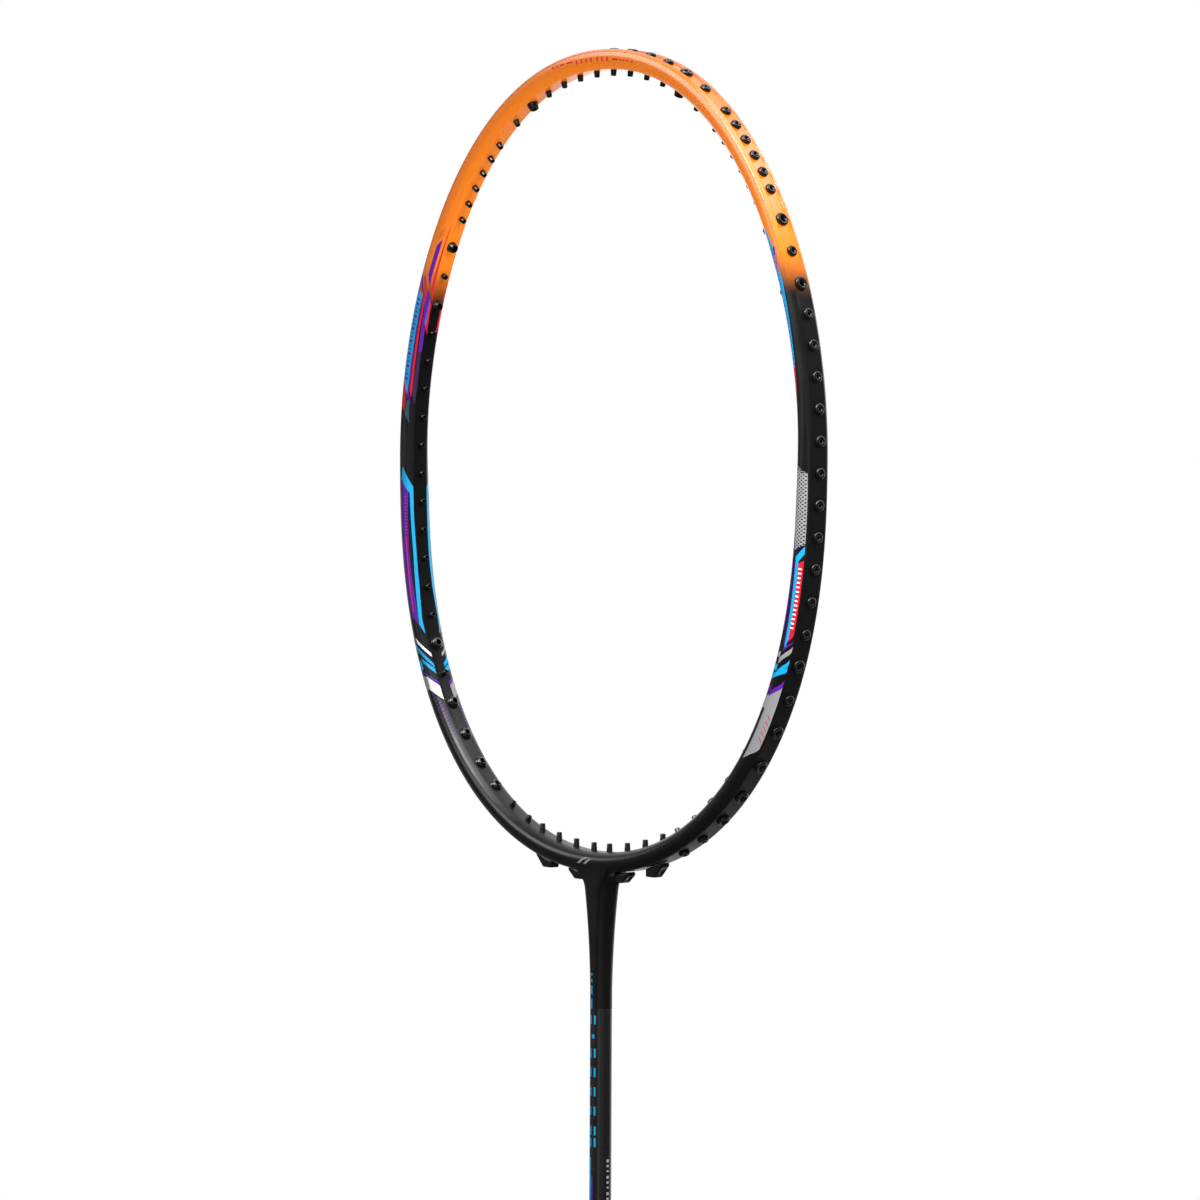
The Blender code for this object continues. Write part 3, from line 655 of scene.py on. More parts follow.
def underside(x):
    """Height of the hoop's outer face at x near the bottom."""
    arcs = np.linspace(HALF_ARC - 60 * MM, HALF_ARC, 400)
    points = hoop(arcs, HALF_TUBE, 0.0)
    return float(np.interp(-x, -points[:, 0], points[:, 2]))


def pad_mesh(name, hole, side):
    """A wedge under the hoop, with rounded edges."""
    inner, flat, outer, drop, outer_drop = (value * MM for value in PAD_SHAPES[hole])
    bottom = underside(inner) - drop
    outline = [
        (inner, underside(inner) + PAD_SUNK), (inner, bottom), (flat, bottom),
        (outer, underside(outer) - outer_drop), (outer, underside(outer) + PAD_SUNK),
        (flat, underside(flat) + PAD_SUNK),
    ]
    bm = bmesh.new()
    sheets = []
    for depth in (-PAD_HALF_DEPTH, PAD_HALF_DEPTH):
        sheets.append([bm.verts.new((side * x, depth, z)) for x, z in outline])
    bm.faces.new(sheets[0])
    bm.faces.new(reversed(sheets[1]))
    for k in range(len(outline)):
        after = (k + 1) % len(outline)
        bm.faces.new((sheets[0][k], sheets[0][after], sheets[1][after], sheets[1][k]))
    bmesh.ops.recalc_face_normals(bm, faces=bm.faces)
    bmesh.ops.bevel(
        bm, geom=bm.edges[:], offset=PAD_ROUNDING, offset_type="OFFSET", segments=3, profile=0.5,
        affect="EDGES", clamp_overlap=True,
    )
    mesh = bpy.data.meshes.new(name)
    bm.to_mesh(mesh)
    bm.free()
    smooth(mesh, HEAD_SHARP_ANGLE)
    return mesh


def build_pads(material):
    for side in (1, -1):
        for hole in PAD_SHAPES:
            name = f"pad_skin_{LETTER[side]}_{hole}_{hole + 1}"
            mesh = pad_mesh(name, hole, side)
            pad = add_piece(name, mesh, material, (node_of_hole(hole, side),))
            bores = []
            for x in (PAD_HOLES[hole], PAD_HOLES[hole + 1]):
                bores.append((np.array([side * x * MM, 0.0, underside(x * MM)]), DOWN, PAD_BORE))
            subtract(pad, closed_tubes("pad_bores", bores, PAD_BORE_SIDES))


# Painted marks: thin films on the hoop's skin

LOW_LIFT, HIGH_LIFT = 0.025 * MM, 0.045 * MM  # of their tops over the skin
SINK = 0.03 * MM  # of their undersides below it
SHAFT_SINK = 0.04 * MM
ROW_LENGTH, COLUMN_WIDTH = 0.7, 0.3  # the most that a film's faces measure, in millimetres
LEAST_WIDTH = 0.01
DOT_SIDES = 8
# How much further round the inner side the back's marks reach, at these arcs, in millimetres
REACH_ARCS, REACHES = (150, 170, 226, 233, 256), (0.0, 0.5, 0.5, 1.7, 1.7)
REACH_LABEL, REACH_RUN = 6.0, 3.0  # the label it starts at, and how much further in it is full


def back_reach(arc, label):
    return np.interp(arc, REACH_ARCS, REACHES) * np.clip((REACH_LABEL - label) / REACH_RUN, 0, 1)


class Film:
    """Flat patches of one colour, gathered into one mesh; all lengths given are in millimetres."""

    def __init__(self, name, material, lift=LOW_LIFT, slot="frame_lacquer"):
        self.name, self.material, self.lift, self.slot = name, material, lift, slot
        self.vertices, self.faces, self.uvs = [], [], []

    def add_sheet(self, top, bottom, uvs):
        """A closed thin plate over a grid of points."""
        rows, columns = top.shape[:2]
        first = len(self.vertices)
        count = rows * columns
        self.vertices.extend(top.reshape(-1, 3))
        self.vertices.extend(bottom.reshape(-1, 3))
        self.uvs.extend([tuple(uv) for uv in uvs.reshape(-1, 2)] * 2)
        quads = grid_faces(rows, columns, wrap_columns=False, first=first)
        self.faces.extend(quads)
        self.faces.extend(tuple(v + count for v in reversed(quad)) for quad in quads)
        rim = list(range(columns)) + [i * columns + columns - 1 for i in range(1, rows)]
        rim += [(rows - 1) * columns + j for j in range(columns - 2, -1, -1)]
        rim += [i * columns for i in range(rows - 2, 0, -1)]
        for k, v in enumerate(rim):
            w = rim[(k + 1) % len(rim)]
            self.faces.append((first + v, first + w, first + count + w, first + count + v))

    def top_and_bottom(self, side, arc, label, back):
        """The skin's points under a mark, raised to the film's top and sunk to its underside."""
        if back:
            label = label - back_reach(arc, label)
        return [surface(side * arc * MM, label, lift, back) for lift in (self.lift, -SINK)]

    def band(self, side, rows, faces=(False, True)):
        """A patch between two edges, from rows of (arc, label, label)."""
        table = np.array(sorted(rows), float)
        first, last = table[0, 0], table[-1, 0]
        even = np.linspace(first, last, 2 + int((last - first) / ROW_LENGTH))
        arcs = np.unique(np.concatenate([even, table[:, 0]]))
        width = np.abs(table[:, 2] - table[:, 1]).max()
        across = np.linspace(0, 1, 2 + int(width / COLUMN_WIDTH))
        low, high = (np.interp(arcs, table[:, 0], table[:, k])[:, None] for k in (1, 2))
        high = np.where(high - low < LEAST_WIDTH, low + LEAST_WIDTH, high)
        labels = low + (high - low) * across
        grid = np.repeat(arcs[:, None], len(across), 1)
        for back in faces:
            sheets = self.top_and_bottom(side, grid, labels, back)
            self.add_sheet(*sheets, np.stack([grid, labels], -1))

    def polygon(self, side, corners, faces=(False, True)):
        """A patch from its corners (arc, label) in order, if each arc cuts its outline once."""
        table = np.array(corners, float)
        ends = np.roll(table, -1, 0)
        arcs = sorted({a for a, _ in corners})
        rows = []
        for arc in arcs:
            cuts = []
            if arc in (arcs[0], arcs[-1]):
                cuts = [label for a, label in corners if a == arc]
            else:
                for (a0, l0), (a1, l1) in zip(table, ends):
                    if min(a0, a1) <= arc <= max(a0, a1) and a0 != a1:
                        cuts.append(l0 + (l1 - l0) * (arc - a0) / (a1 - a0))
            rows.append((arc, min(cuts), max(cuts)))
        self.band(side, rows, faces)

    def block(self, side, arc, length, low, high, slant=0.0):
        """A bar across the skin between two labels, with its far edge slanted on along the arc."""
        near, far = arc + slant, arc + slant + length
        self.polygon(side, ((arc, low), (arc + length, low), (far, high), (near, high)))

    def row(self, side, count, pitch, arc, *shape):
        """Equal blocks at an even pitch."""
        for k in range(count):
            self.block(side, arc + pitch * k, *shape)

    def dot(self, side, arc, label, radius):
        turn = 2 * math.pi * np.arange(DOT_SIDES) / DOT_SIDES
        around, across = arc + radius * np.cos(turn), label + radius * np.sin(turn)
        for back in (False, True):
            first, last = len(self.vertices), len(self.vertices) + 2 * DOT_SIDES - 1
            for ring in self.top_and_bottom(side, around, across, back):
                self.vertices.extend(ring)
            self.uvs.extend([(arc, label)] * 2 * DOT_SIDES)
            self.faces.append(tuple(range(first, first + DOT_SIDES)))
            self.faces.append(tuple(range(last, last - DOT_SIDES, -1)))
            for k in range(DOT_SIDES):
                here, after = first + k, first + (k + 1) % DOT_SIDES
                self.faces.append((here, after, after + DOT_SIDES, here + DOT_SIDES))

    def finish(self):
        mesh = make_mesh(self.name, self.vertices, self.faces, SMOOTH_ANGLE, self.uvs)
        add_piece(self.name, mesh, self.material)


# Marks of one half, as (arc from the top centre, label) in millimetres. Bands run along the hoop
# between two edges, (arc, label, label); polygons are listed corner by corner.

RED_BANDS = {
    -1: (
        ((91.5, 2.85, 2.95), (98, 2.75, 3.1), (112, 2.6, 3.4), (115.5, 2.5, 3.4),
         (119.3, 1.95, 2.1)),
        ((111.2, 6.7, 6.85), (112.6, 6.0, 7.05), (116, 4.7, 5.4), (118, 4.55, 5.2),
         (134.5, 4.35, 5.1), (149.5, 4.3, 5.1), (151.6, 4.45, 4.6)),
        ((119.6, 2.8, 2.85), (120.4, 2.1, 2.75), (128.4, 1.9, 2.7), (130.4, 1.6, 1.7)),
        ((146.8, 8.3, 8.8), (148.4, 7.2, 8.8), (151.6, 6.75, 8.8), (154.4, 6.71, 8.92),
         (156.4, 6.72, 6.93)),
        ((114.0, 8.3, 8.5), (116.4, 7.0, 8.1), (119.2, 6.1, 6.4)),
    ),
    1: (
        ((144.0, 5.0, 5.9), (145.4, 3.0, 5.9), (152.4, 3.23, 5.49), (155.5, 3.02, 2.97)),
        ((111.0, 5.9, 6.6), (114.0, 5.6, 6.4), (116.8, 5.9, 6.1)),
    ),
}
PURPLE_BANDS = {
    -1: (
        ((98, 4.1, 4.2), (100.8, 4.0, 5.4), (110.8, 4.15, 5.5), (112.2, 4.2, 5.0),
         (114.4, 4.05, 4.15)),
        ((115.6, 4.1, 4.2), (117.2, 3.6, 4.5), (118.6, 3.1, 4.4), (127.2, 3.35, 4.1),
         (128.6, 2.8, 4.05), (134.5, 2.65, 3.9), (136.6, 2.7, 4.0)),
        ((111.5, 8.3, 8.8), (112.4, 7.7, 8.6), (115.6, 6.3, 7.2), (117.2, 5.4, 5.6)),
        ((118, 5.3, 5.55), (136.4, 5.3, 5.6), (146.8, 5.3, 5.8), (151.2, 5.2, 6.2),
         (154.5, 4.51, 4.61)),
        ((179, 6.9, 6.95), (182.8, 4.53, 7.09), (190.5, 4.89, 7.23), (202.4, 5.05, 7.54),
         (212.1, 4.9, 7.39), (219.7, 4.7, 7.12), (224.1, 4.8, 6.79), (226.6, 4.85, 4.96)),
    ),
    1: (
        ((108, 6.3, 7.2), (110.5, 5.8, 6.6), (111.2, 5.6, 6.0)),
        ((202.9, 6.51, 6.56), (228.4, 6.87, 7.08)),
        ((194, 2.18, 5.85), (224.1, 2.14, 5.85), (226.4, 2.13, 2.2)),
    ),
}
CYAN_BANDS = {
    -1: (
        ((104, 8.6, 8.8), (112, 8.3, 8.9), (115.5, 8.0, 9.0), (117.5, 6.4, 9.0), (118.2, 5.85, 9.0),
         (135, 5.75, 9.0), (144, 5.85, 9.0), (146.8, 5.9, 8.3), (150.8, 6.1, 6.3)),
        ((174.6, 6.63, 6.72), (178.8, 4.37, 7.19), (181.2, 3, 5.62), (183.2, 2.96, 4.11),
         (190.4, 2.98, 3.98), (202.5, 2.74, 3.75), (215.1, 2.91, 4.13), (225.7, 3.57, 4.61),
         (226.9, 3.48, 4.71), (230.3, 3.34, 3.43)),
    ),
    1: (
        ((101, 5.6, 5.8), (107.6, 3.0, 6.3), (118.8, 3.0, 6.8), (132.5, 3.0, 6.3),
         (145.2, 3.0, 5.9)),
        ((198.2, 8.51, 8.59), (200.4, 7.33, 8.59), (201.3, 6.66, 8.21), (202.7, 6.69, 7.49),
         (214.9, 6.91, 7.6), (225.9, 7.09, 7.77), (228.5, 7.2, 7.49)),
    ),
}
CYAN_POLYGONS = {
    -1: (
        ((230.8, 8.92), (240.9, 2.9), (242.3, 2.9), (232.7, 8.92)),
        ((237.7, 6.8), (242.7, 2.9), (244.6, 2.89), (239.4, 6.44)),
        ((237.6, 8.53), (238.7, 6.96), (241.6, 6.71), (241.6, 8.41)),
    ),
    1: (
        ((231.9, 9.19), (233.7, 9.19), (238.2, 6.56), (236.2, 6.77)),
        ((234.3, 9.19), (235.7, 9.19), (243.3, 2.1), (241, 2.08)),
        ((234.2, 6.5), (236.2, 6.5), (239.3, 2.16), (237.1, 2.16)),
    ),
}
PURPLE_POLYGONS = {
    -1: (((240, 8.92), (247.5, 2.93), (249, 2.92), (243.1, 6.91)),),
    1: (
        ((238.5, 9.2), (240.5, 9.2), (244.9, 6.46), (243.3, 6.46)),
        ((241.3, 6.46), (243.3, 6.46), (246, 2.17), (244, 2.16)),
        ((226.3, 8.94), (226.7, 8.94), (229.9, 7.08), (229.1, 6.96)),
    ),
}
SILVER_POLYGONS = {
    -1: (
        ((243.2, 7.86), (244.6, 6.36), (249, 6.72), (248.4, 8.52)),
    ),
    1: (
        ((227.9, 9.19), (229.5, 9.19), (234.2, 6.5), (232.2, 6.5)),
        ((230.2, 6.51), (231.9, 6.5), (235, 2.14), (233, 2.15)),
        ((240.6, 9.2), (261.4, 9.21), (267, 6.44), (244.9, 6.49)),
        ((244.3, 6.49), (248.7, 6.48), (251.1, 2.16), (246.9, 2.13)),
    ),
}
WHITE_POLYGONS = (
    ((244.4, 6.26), (249, 2.92), (253.9, 3), (249.1, 6.53)),
    ((230.7, 7.25), (237.3, 2.95), (238.5, 2.95), (232.9, 6.8)),
)
RED_BOX = ((202.3, 8.59), (224.7, 8.65), (227, 7.84), (203.2, 7.57))
WOVEN_PANEL = ((172, 2.39), (176.8, 8.67), (197.6, 8.59), (202.5, 2.14))
PURPLE_HATCH = ((136.6, 2.75, 4.0), (149.2, 2.75, 4.2), (151.2, 2.9, 4.0), (154.0, 3.05, 3.2))
TEAL_HATCH = ((152.8, 5.9), (153.6, 5.0), (160.2, 4.6), (157.6, 6.4))
BROWN_HATCH = ((93.4, 4.3), (96.0, 5.5), (99.4, 5.5), (96.6, 4.4))
BLUE_BAND = ((118.6, 2.95, 3.1), (119.6, 2.8, 3.2), (127.2, 2.75, 3.35), (127.8, 2.7, 2.8))


# Colours of the paint, films and mouldings
BLACK = srgb(11, 11, 12)
BLACK_LIGHT = srgb(15, 15, 16)
ORANGE = srgb(246, 130, 10)
ORANGE_DEEP = srgb(236, 118, 7)
RED = srgb(200, 16, 36)
PURPLE = srgb(84, 20, 148)
CYAN = srgb(0, 154, 210)
SILVER = srgb(138, 138, 141)
WHITE = srgb(238, 238, 240)
MAGENTA = srgb(226, 34, 116)
LILAC = srgb(128, 60, 196)
TEAL = srgb(20, 92, 120)
BLUE = srgb(58, 84, 178)
FADE = (49 * MM, 64 * MM)  # above the head's middle


def head_paint():
    """Satin lacquer: orange with a fine flake over the top of the head, sprayed out into black."""
    material, tree, shader, position = new_material(
        "head_paint", BLACK, 0.34, Specular_IOR_Level=0.32, Coat_Roughness=0.2,
    )
    height = add_node(tree, "ShaderNodeSeparateXYZ", Vector=position).outputs[2]
    mist = varied(tree, position, 3600, -1.2 * MM, 1.2 * MM, 4, 0.25)
    drift = varied(tree, position, 45, -2.0 * MM, 2.0 * MM)
    sprayed = math_node(tree, "ADD", math_node(tree, "ADD", height, mist), drift)
    low, high = (HEAD_CENTRE_Z + edge for edge in FADE)
    fade = remap(tree, sprayed, low, high, 0.0, 1.0, smooth=True)
    flake = noise(tree, position, 5200, 2)
    orange, black = (
        mix_colour(tree, remap(tree, flake, 0.35, 0.65, 0, 1), deep, light)
        for deep, light in ((ORANGE_DEEP, ORANGE), (BLACK, BLACK_LIGHT))
    )
    set_input(tree, shader, "Base Color", mix_colour(tree, fade, black, orange))
    set_input(tree, shader, "Coat Weight", remap(tree, fade, 0, 1, 0.04, 0.85))
    set_input(tree, shader, "Roughness", varied(tree, position, 160, 0.3, 0.38))
    set_input(tree, shader, "Normal", bump(tree, noise(tree, position, 2600), 0.002, GRAIN_HEIGHT))
    return material


def hatched(name, ground, line, pitch, width, crossed, slope):
    """A print of slanted lines, or of a weave if crossed, drawn in the film's own millimetres."""
    material, tree, shader, position = new_material(name, ground, 0.42, Coat_Weight=0.2)
    parts = add_node(tree, "ShaderNodeSeparateXYZ", Vector=texture_place(tree, "UV"))
    along, across = parts.outputs[0], math_node(tree, "MULTIPLY", parts.outputs[1], slope)
    cover = None
    for operation in ("ADD", "SUBTRACT")[: 2 if crossed else 1]:
        phase = math_node(tree, "DIVIDE", math_node(tree, operation, along, across), pitch)
        cell = math_node(tree, "FRACT", phase)
        offset = math_node(tree, "ABSOLUTE", math_node(tree, "SUBTRACT", cell, 0.5))
        stroke = remap(tree, offset, width - 0.08, width + 0.08, 1.0, 0.0)
        cover = stroke if cover is None else math_node(tree, "MAXIMUM", cover, stroke)
    grain = varied(tree, position, 2600, 0.75, 1.0)
    shade = mix_colour(tree, math_node(tree, "MULTIPLY", cover, grain), ground, line)
    set_input(tree, shader, "Base Color", shade)
    return material


# Prints: (film, material, ground, line, pitch, width, crossed, slope, side, way to draw, outline)
HATCHES = (
    ("marks_woven", "film_woven", srgb(32, 32, 34), srgb(156, 156, 158), 1.1, 0.2, True, 1.0,
     1, Film.polygon, WOVEN_PANEL),
    ("marks_purple_hatch", "film_hatch", BLACK, srgb(70, 30, 112), 0.9, 0.24, False, 0.6,
     -1, Film.band, PURPLE_HATCH),
    ("marks_teal_hatch", "film_teal", BLACK, TEAL, 0.6, 0.22, True, 1.0,
     -1, Film.polygon, TEAL_HATCH),
    ("marks_brown_hatch", "film_brown", ORANGE_DEEP, srgb(140, 72, 60), 0.7, 0.22, False, 1.4,
     -1, Film.polygon, BROWN_HATCH),
)

# Plain ticks, bars and dashes stand where the real racket has lettering. Rows of ticks, as
# (side, how many, pitch, first arc, length, label, label, slant)
WHITE_TICKS = (1, 14, 1.36, 204.6, 0.45, 7.7, 8.3)
SCRIPT_TICKS = (1, 5, 1.9, 250.2, 0.4, 7.9, 8.8, 1.3)
# Ticks of three lengths in turn: (side, first arc, last arc, label, label)
PURPLE_TICKS = ((-1, 119.6, 147, 6.5, 7.9), (1, 108, 144, 4.6, 5.6))
TICK_LENGTHS, TICK_GAP = (0.55, 0.95, 0.35), 0.75
# On the crown: (side, arc) of its ticks, and their length and labels
CROWN_TICKS = ((-1, 8.2), (-1, 5.9), (-1, 3.6), (-1, 1.3), (1, 1.0), (1, 3.3), (1, 5.6))
CROWN_TICK = (0.6, 5.7, 7.05)
# Of each side: the label at the top centre, its rise for each millimetre, and the dashes' ends
CROWN_DASHES = {
    -1: (6.28, 0.037, ((19.2, 20.4), (17.2, 18.4), (14.4, 16.4), (10.4, 13.2))),
    1: (6.05, 0, ((8.4, 11.2), (12.0, 12.8), (13.4, 14.2), (15.0, 16.0), (17.2, 18.2))),
}
DASH_WIDTH, DASH_LEAN = 0.5, 0.05
# Lilac dots, fewer in each column: (side, arc, label, fall for each row, drift for each column)
DOT_FIELDS = ((-1, 251.0, 6.25, 0.62, 0.02), (1, 252.6, 5.0, 0.5, 0))
DOT_COLUMNS, DOT_COLUMN_PITCH = 10, 1.35
DOT_ROWS, DOT_ROW_PITCH = 5, 1.15
DOT_TAPER, DOT_MARGIN, DOT_RADIUS = 0.5, 0.6, 0.17
MAGENTA_DOTS, MAGENTA_RADIUS = 12, 0.3
MAGENTA_START, MAGENTA_STEP = (184.4, 5.6), (1.08, 0.025)
MAGENTA_BAND = ((197.2, 5.65, 6.05), (222.4, 5.9, 6.3))
THROAT_BARS = (3.4, 6.3)  # how far short of the bottom they start
THROAT_BAR = (1.3, 7.2, 5.2, 3.6)  # length, labels and slant of each


def new_film(name, paint_name, colour, lift=LOW_LIFT, slot="frame_lacquer"):
    paint = speckled(paint_name, colour, 0.4, 3000, 0.08, 0.005, Specular_IOR_Level=0.3)
    return Film(name, paint, lift, slot)


def draw_crown_dashes(film, side):
    start, rise, dashes = CROWN_DASHES[side]
    for near, far in dashes:
        low = start + rise * near
        high = low + DASH_WIDTH
        film.band(side, ((near, low, high), (far, low + DASH_LEAN, high + DASH_LEAN)))


def build_marks():
    red = new_film("marks_red", "film_red", RED)
    purple = new_film("marks_purple", "film_purple", PURPLE)
    cyan = new_film("marks_cyan", "film_cyan", CYAN)
    silver = new_film("marks_silver", "film_silver", SILVER)
    white = new_film("marks_white", "film_white", WHITE)
    for draw, film, table in (
        (Film.band, red, RED_BANDS),
        (Film.band, purple, PURPLE_BANDS),
        (Film.band, cyan, CYAN_BANDS),
        (Film.polygon, cyan, CYAN_POLYGONS),
        (Film.polygon, purple, PURPLE_POLYGONS),
        (Film.polygon, silver, SILVER_POLYGONS),
    ):
        for side, shapes in table.items():
            for shape in shapes:
                draw(film, side, shape)
    for corners in WHITE_POLYGONS:
        white.polygon(-1, corners, (False,))
        silver.polygon(-1, corners, (True,))
    red.polygon(1, RED_BOX)

    over = new_film("marks_white_ticks", "film_ticks", WHITE, HIGH_LIFT)
    over.row(*WHITE_TICKS)
    over.finish()
    script = new_film("marks_red_ticks", "film_script", RED, HIGH_LIFT)
    script.row(*SCRIPT_TICKS)
    for side, arc, last, low, high in PURPLE_TICKS:
        ticks = new_film(f"marks_ticks_{LETTER[side]}", "film_tick", PURPLE, HIGH_LIFT)
        for length in itertools.cycle(TICK_LENGTHS):
            if arc >= last:
                break
            ticks.block(side, arc, length, low, high)
            arc += length + TICK_GAP
        ticks.finish()
    draw_crown_dashes(red, -1)
    for side, arc in CROWN_TICKS:
        red.block(side, arc, *CROWN_TICK)
    draw_crown_dashes(red, 1)

    dots = new_film("marks_dots", "film_dots", LILAC)
    for column in range(DOT_COLUMNS):
        for row in range(DOT_ROWS):
            if row < DOT_TAPER * column - DOT_MARGIN:
                continue
            for side, start, label, fall, drift in DOT_FIELDS:
                arc = start + DOT_ROW_PITCH * row + DOT_COLUMN_PITCH * column
                dots.dot(side, arc, label - fall * row - drift * column, DOT_RADIUS)
    dots.finish()
    magenta = new_film("marks_magenta", "film_magenta", MAGENTA, HIGH_LIFT)
    for k in range(MAGENTA_DOTS):
        place = (start + step * k for start, step in zip(MAGENTA_START, MAGENTA_STEP))
        magenta.dot(-1, *place, MAGENTA_RADIUS)
    magenta.band(-1, MAGENTA_BAND)
    magenta.finish()
    blue = new_film("marks_blue", "film_blue", BLUE, HIGH_LIFT)
    blue.band(-1, BLUE_BAND)
    blue.finish()
    for name, paint_name, *look, side, draw, outline in HATCHES:
        film = Film(name, hatched(paint_name, *look))
        draw(film, side, outline)
        film.finish()
    for film in (script, red, purple, cyan, silver, white):
        film.finish()


def build_throat_mark():
    """Two plain silver bars over the throat, front and back."""
    film = new_film("throat_bars", "film_throat", SILVER)
    for short in THROAT_BARS:
        film.block(-1, HALF_ARC / MM - short, *THROAT_BAR)
    film.finish()


# Shaft and its marks

SHAFT_BOTTOM_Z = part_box("shaft")[0].z
SHAFT_BORE = 2.5 * MM
SHAFT_GAP = 0.04 * MM  # between it and the neck
SHAFT_BEVEL = 0.08 * MM
PLATE_POINTS = 7
# Plates on its front and back: (top below the head's middle, length, offset and half angle)
SHAFT_BARS = (
    (158.6, 0.8, -9, 6), (160.4, 1.0, -9, 6), (162.4, 2.8, -9, 6), (166.4, 3.2, -11, 7),
    (177.6, 1.2, 3, 9),
)
# Pairs of strokes there: (top, offset), and each stroke's length, offset from that and half angle
SHAFT_PAIRS = ((171.7, 0), (182.0, 0), (188.0, 0), (194.0, 0), (200.0, 0), (206.2, 2), (209.8, 2))
PAIR_LENGTH, PAIR_OFFSET, PAIR_HALF_ANGLE = 2.8, 15, 5.5
CYAN_STRIPE, PURPLE_STRIPE = (216, 46, -13, 4), (222, 44, -2, 6)
SIDE_TICKS, SIDE_TICK_TOP, SIDE_TICK_PITCH, SIDE_TICK_HALF_ANGLE = 20, 216.5, 1.7, 7


def round_rings(profile, sides=64):
    return turned_rings(np.zeros(3), UP, profile, sides)


def build_shaft(material):
    top = NECK_BOTTOM_Z - SHAFT_GAP
    heights = np.linspace(SHAFT_BOTTOM_Z, top - SHAFT_BEVEL, 40)
    profile = [(SHAFT_RADIUS, z) for z in heights]
    profile += [(SHAFT_RADIUS - SHAFT_BEVEL, top), (SHAFT_BORE, top), (SHAFT_BORE, SHAFT_BOTTOM_Z)]
    mesh = loft_mesh("shaft_skin", round_rings(profile), True)
    add_piece("shaft_skin", mesh, material, ("shaft",))


def shaft_plate(film, face, top, length, offset, half_angle):
    """A patch on the shaft, about an angle from +X in degrees."""
    turn, z = face + offset, HEAD_CENTRE_Z - top * MM
    angles = np.radians(np.linspace(turn - half_angle, turn + half_angle, PLATE_POINTS))
    layers = []
    for lift in (LOW_LIFT, -SHAFT_SINK):
        rings = []
        for height in (z, z - length * MM):
            ring = neck_ring(max(HOOP_BOTTOM_Z - height, 0), angles)
            ring[:, 2] = height
            out = ring * (1, 1, 0)
            rings.append(ring + out / np.linalg.norm(out, axis=1, keepdims=True) * lift)
        layers.append(np.stack(rings))
    film.add_sheet(*layers, np.zeros((2, PLATE_POINTS, 2)))


def build_shaft_marks():
    """Bars where the real shaft has lettering, and a stripe below them."""
    cyan = new_film("shaft_marks", "film_shaft", CYAN, slot="shaft_lacquer")
    purple = new_film("shaft_stripe", "film_shaft_purple", PURPLE, slot="shaft_lacquer")
    white = new_film("shaft_ticks", "film_shaft_white", SILVER, slot="shaft_lacquer")
    for face, side in ((-90, 0), (90, 180)):
        for bar in SHAFT_BARS:
            shaft_plate(cyan, face, *bar)
        for top, offset in SHAFT_PAIRS:
            for stroke in (-PAIR_OFFSET, PAIR_OFFSET):
                shaft_plate(cyan, face, top, PAIR_LENGTH, offset + stroke, PAIR_HALF_ANGLE)
        shaft_plate(cyan, face, *CYAN_STRIPE)
        shaft_plate(purple, face, *PURPLE_STRIPE)
        for k in range(SIDE_TICKS):
            top, length = SIDE_TICK_TOP + SIDE_TICK_PITCH * k, 0.9 - 0.2 * (k % 3)
            shaft_plate(white, side, top, length, 0, SIDE_TICK_HALF_ANGLE)
    for film in (cyan, purple, white):
        film.finish()


# Handle

HANDLE_SIZE = (22.0 * MM, 19.4 * MM)
HANDLE_BEVEL = 0.29
BUTT_FLARE = 4.0 * MM
BUTT_FLARE_HEIGHT = 28 * MM
GAP = 0.3 * MM
TURNS = 2 * math.pi * np.arange(128) / 128
CORNER_SHARPNESS = 22

CONE_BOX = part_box("cone")
CONE_STRAIGHT_Z = 174 * MM
CONE_TOP_RADIUS = 4.7 * MM
CONE_POWER = 1.6
CONE_WALL = 1.6 * MM
CONE_INNER_HEIGHTS = (190.5 * MM, 182 * MM, CONE_STRAIGHT_Z)

GRIP_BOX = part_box("grip_wrap")
GRIP_GROWTH = 2.1 * MM
BAND_PITCH = 23 * MM  # of the grip's spiral
BAND_LAP = 0.7 * MM  # how far the upper edge of each turn stands over the one below
LAP_EDGE, LAP_RUN = 0.5 * MM, 7 * MM  # it rises over the first, and sinks again over the second
TEXTURE_ROUND = 72  # length of the grip's texture round the handle, in millimetres
PORE_PITCHES, PORE_RADII = (2.4, 2.3), (0.25, 0.45)

BADGE_RADIUS = 8.5 * MM
CAP_WALL = 1.2 * MM
CAP_TOP = 11 * MM
CAP_EDGE = ((1.3, 0, 0.15), (0.75, 0.12, 0.1), (0.3, 0.4, 0.05), (0.06, 0.85, 0), (0, 1.3, 0))


def octagon(size, z, grow=0.0, roundness=0.0):
    """A ring at height z: an octagon with softened corners, pushed towards an ellipse."""
    width, depth = size[0] / 2 + grow, size[1] / 2 + grow
    c, s = np.abs(np.cos(TURNS)), np.abs(np.sin(TURNS))
    diagonal = width + depth - HANDLE_BEVEL * 2 * np.minimum(width, depth)
    limits = np.stack([c / width, s / depth, (c + s) / diagonal])
    flat = (limits**CORNER_SHARPNESS).sum(0) ** (-1 / CORNER_SHARPNESS)
    ellipse = 1 / np.hypot(c / width, s / depth)
    radius = flat + (ellipse - flat) * roundness
    return np.stack([radius * np.cos(TURNS), radius * np.sin(TURNS), np.full_like(TURNS, z)], -1)


def handle_size(z):
    flare = BUTT_FLARE * max(1 - z / BUTT_FLARE_HEIGHT, 0) ** 2
    return HANDLE_SIZE[0] + flare, HANDLE_SIZE[1] + flare


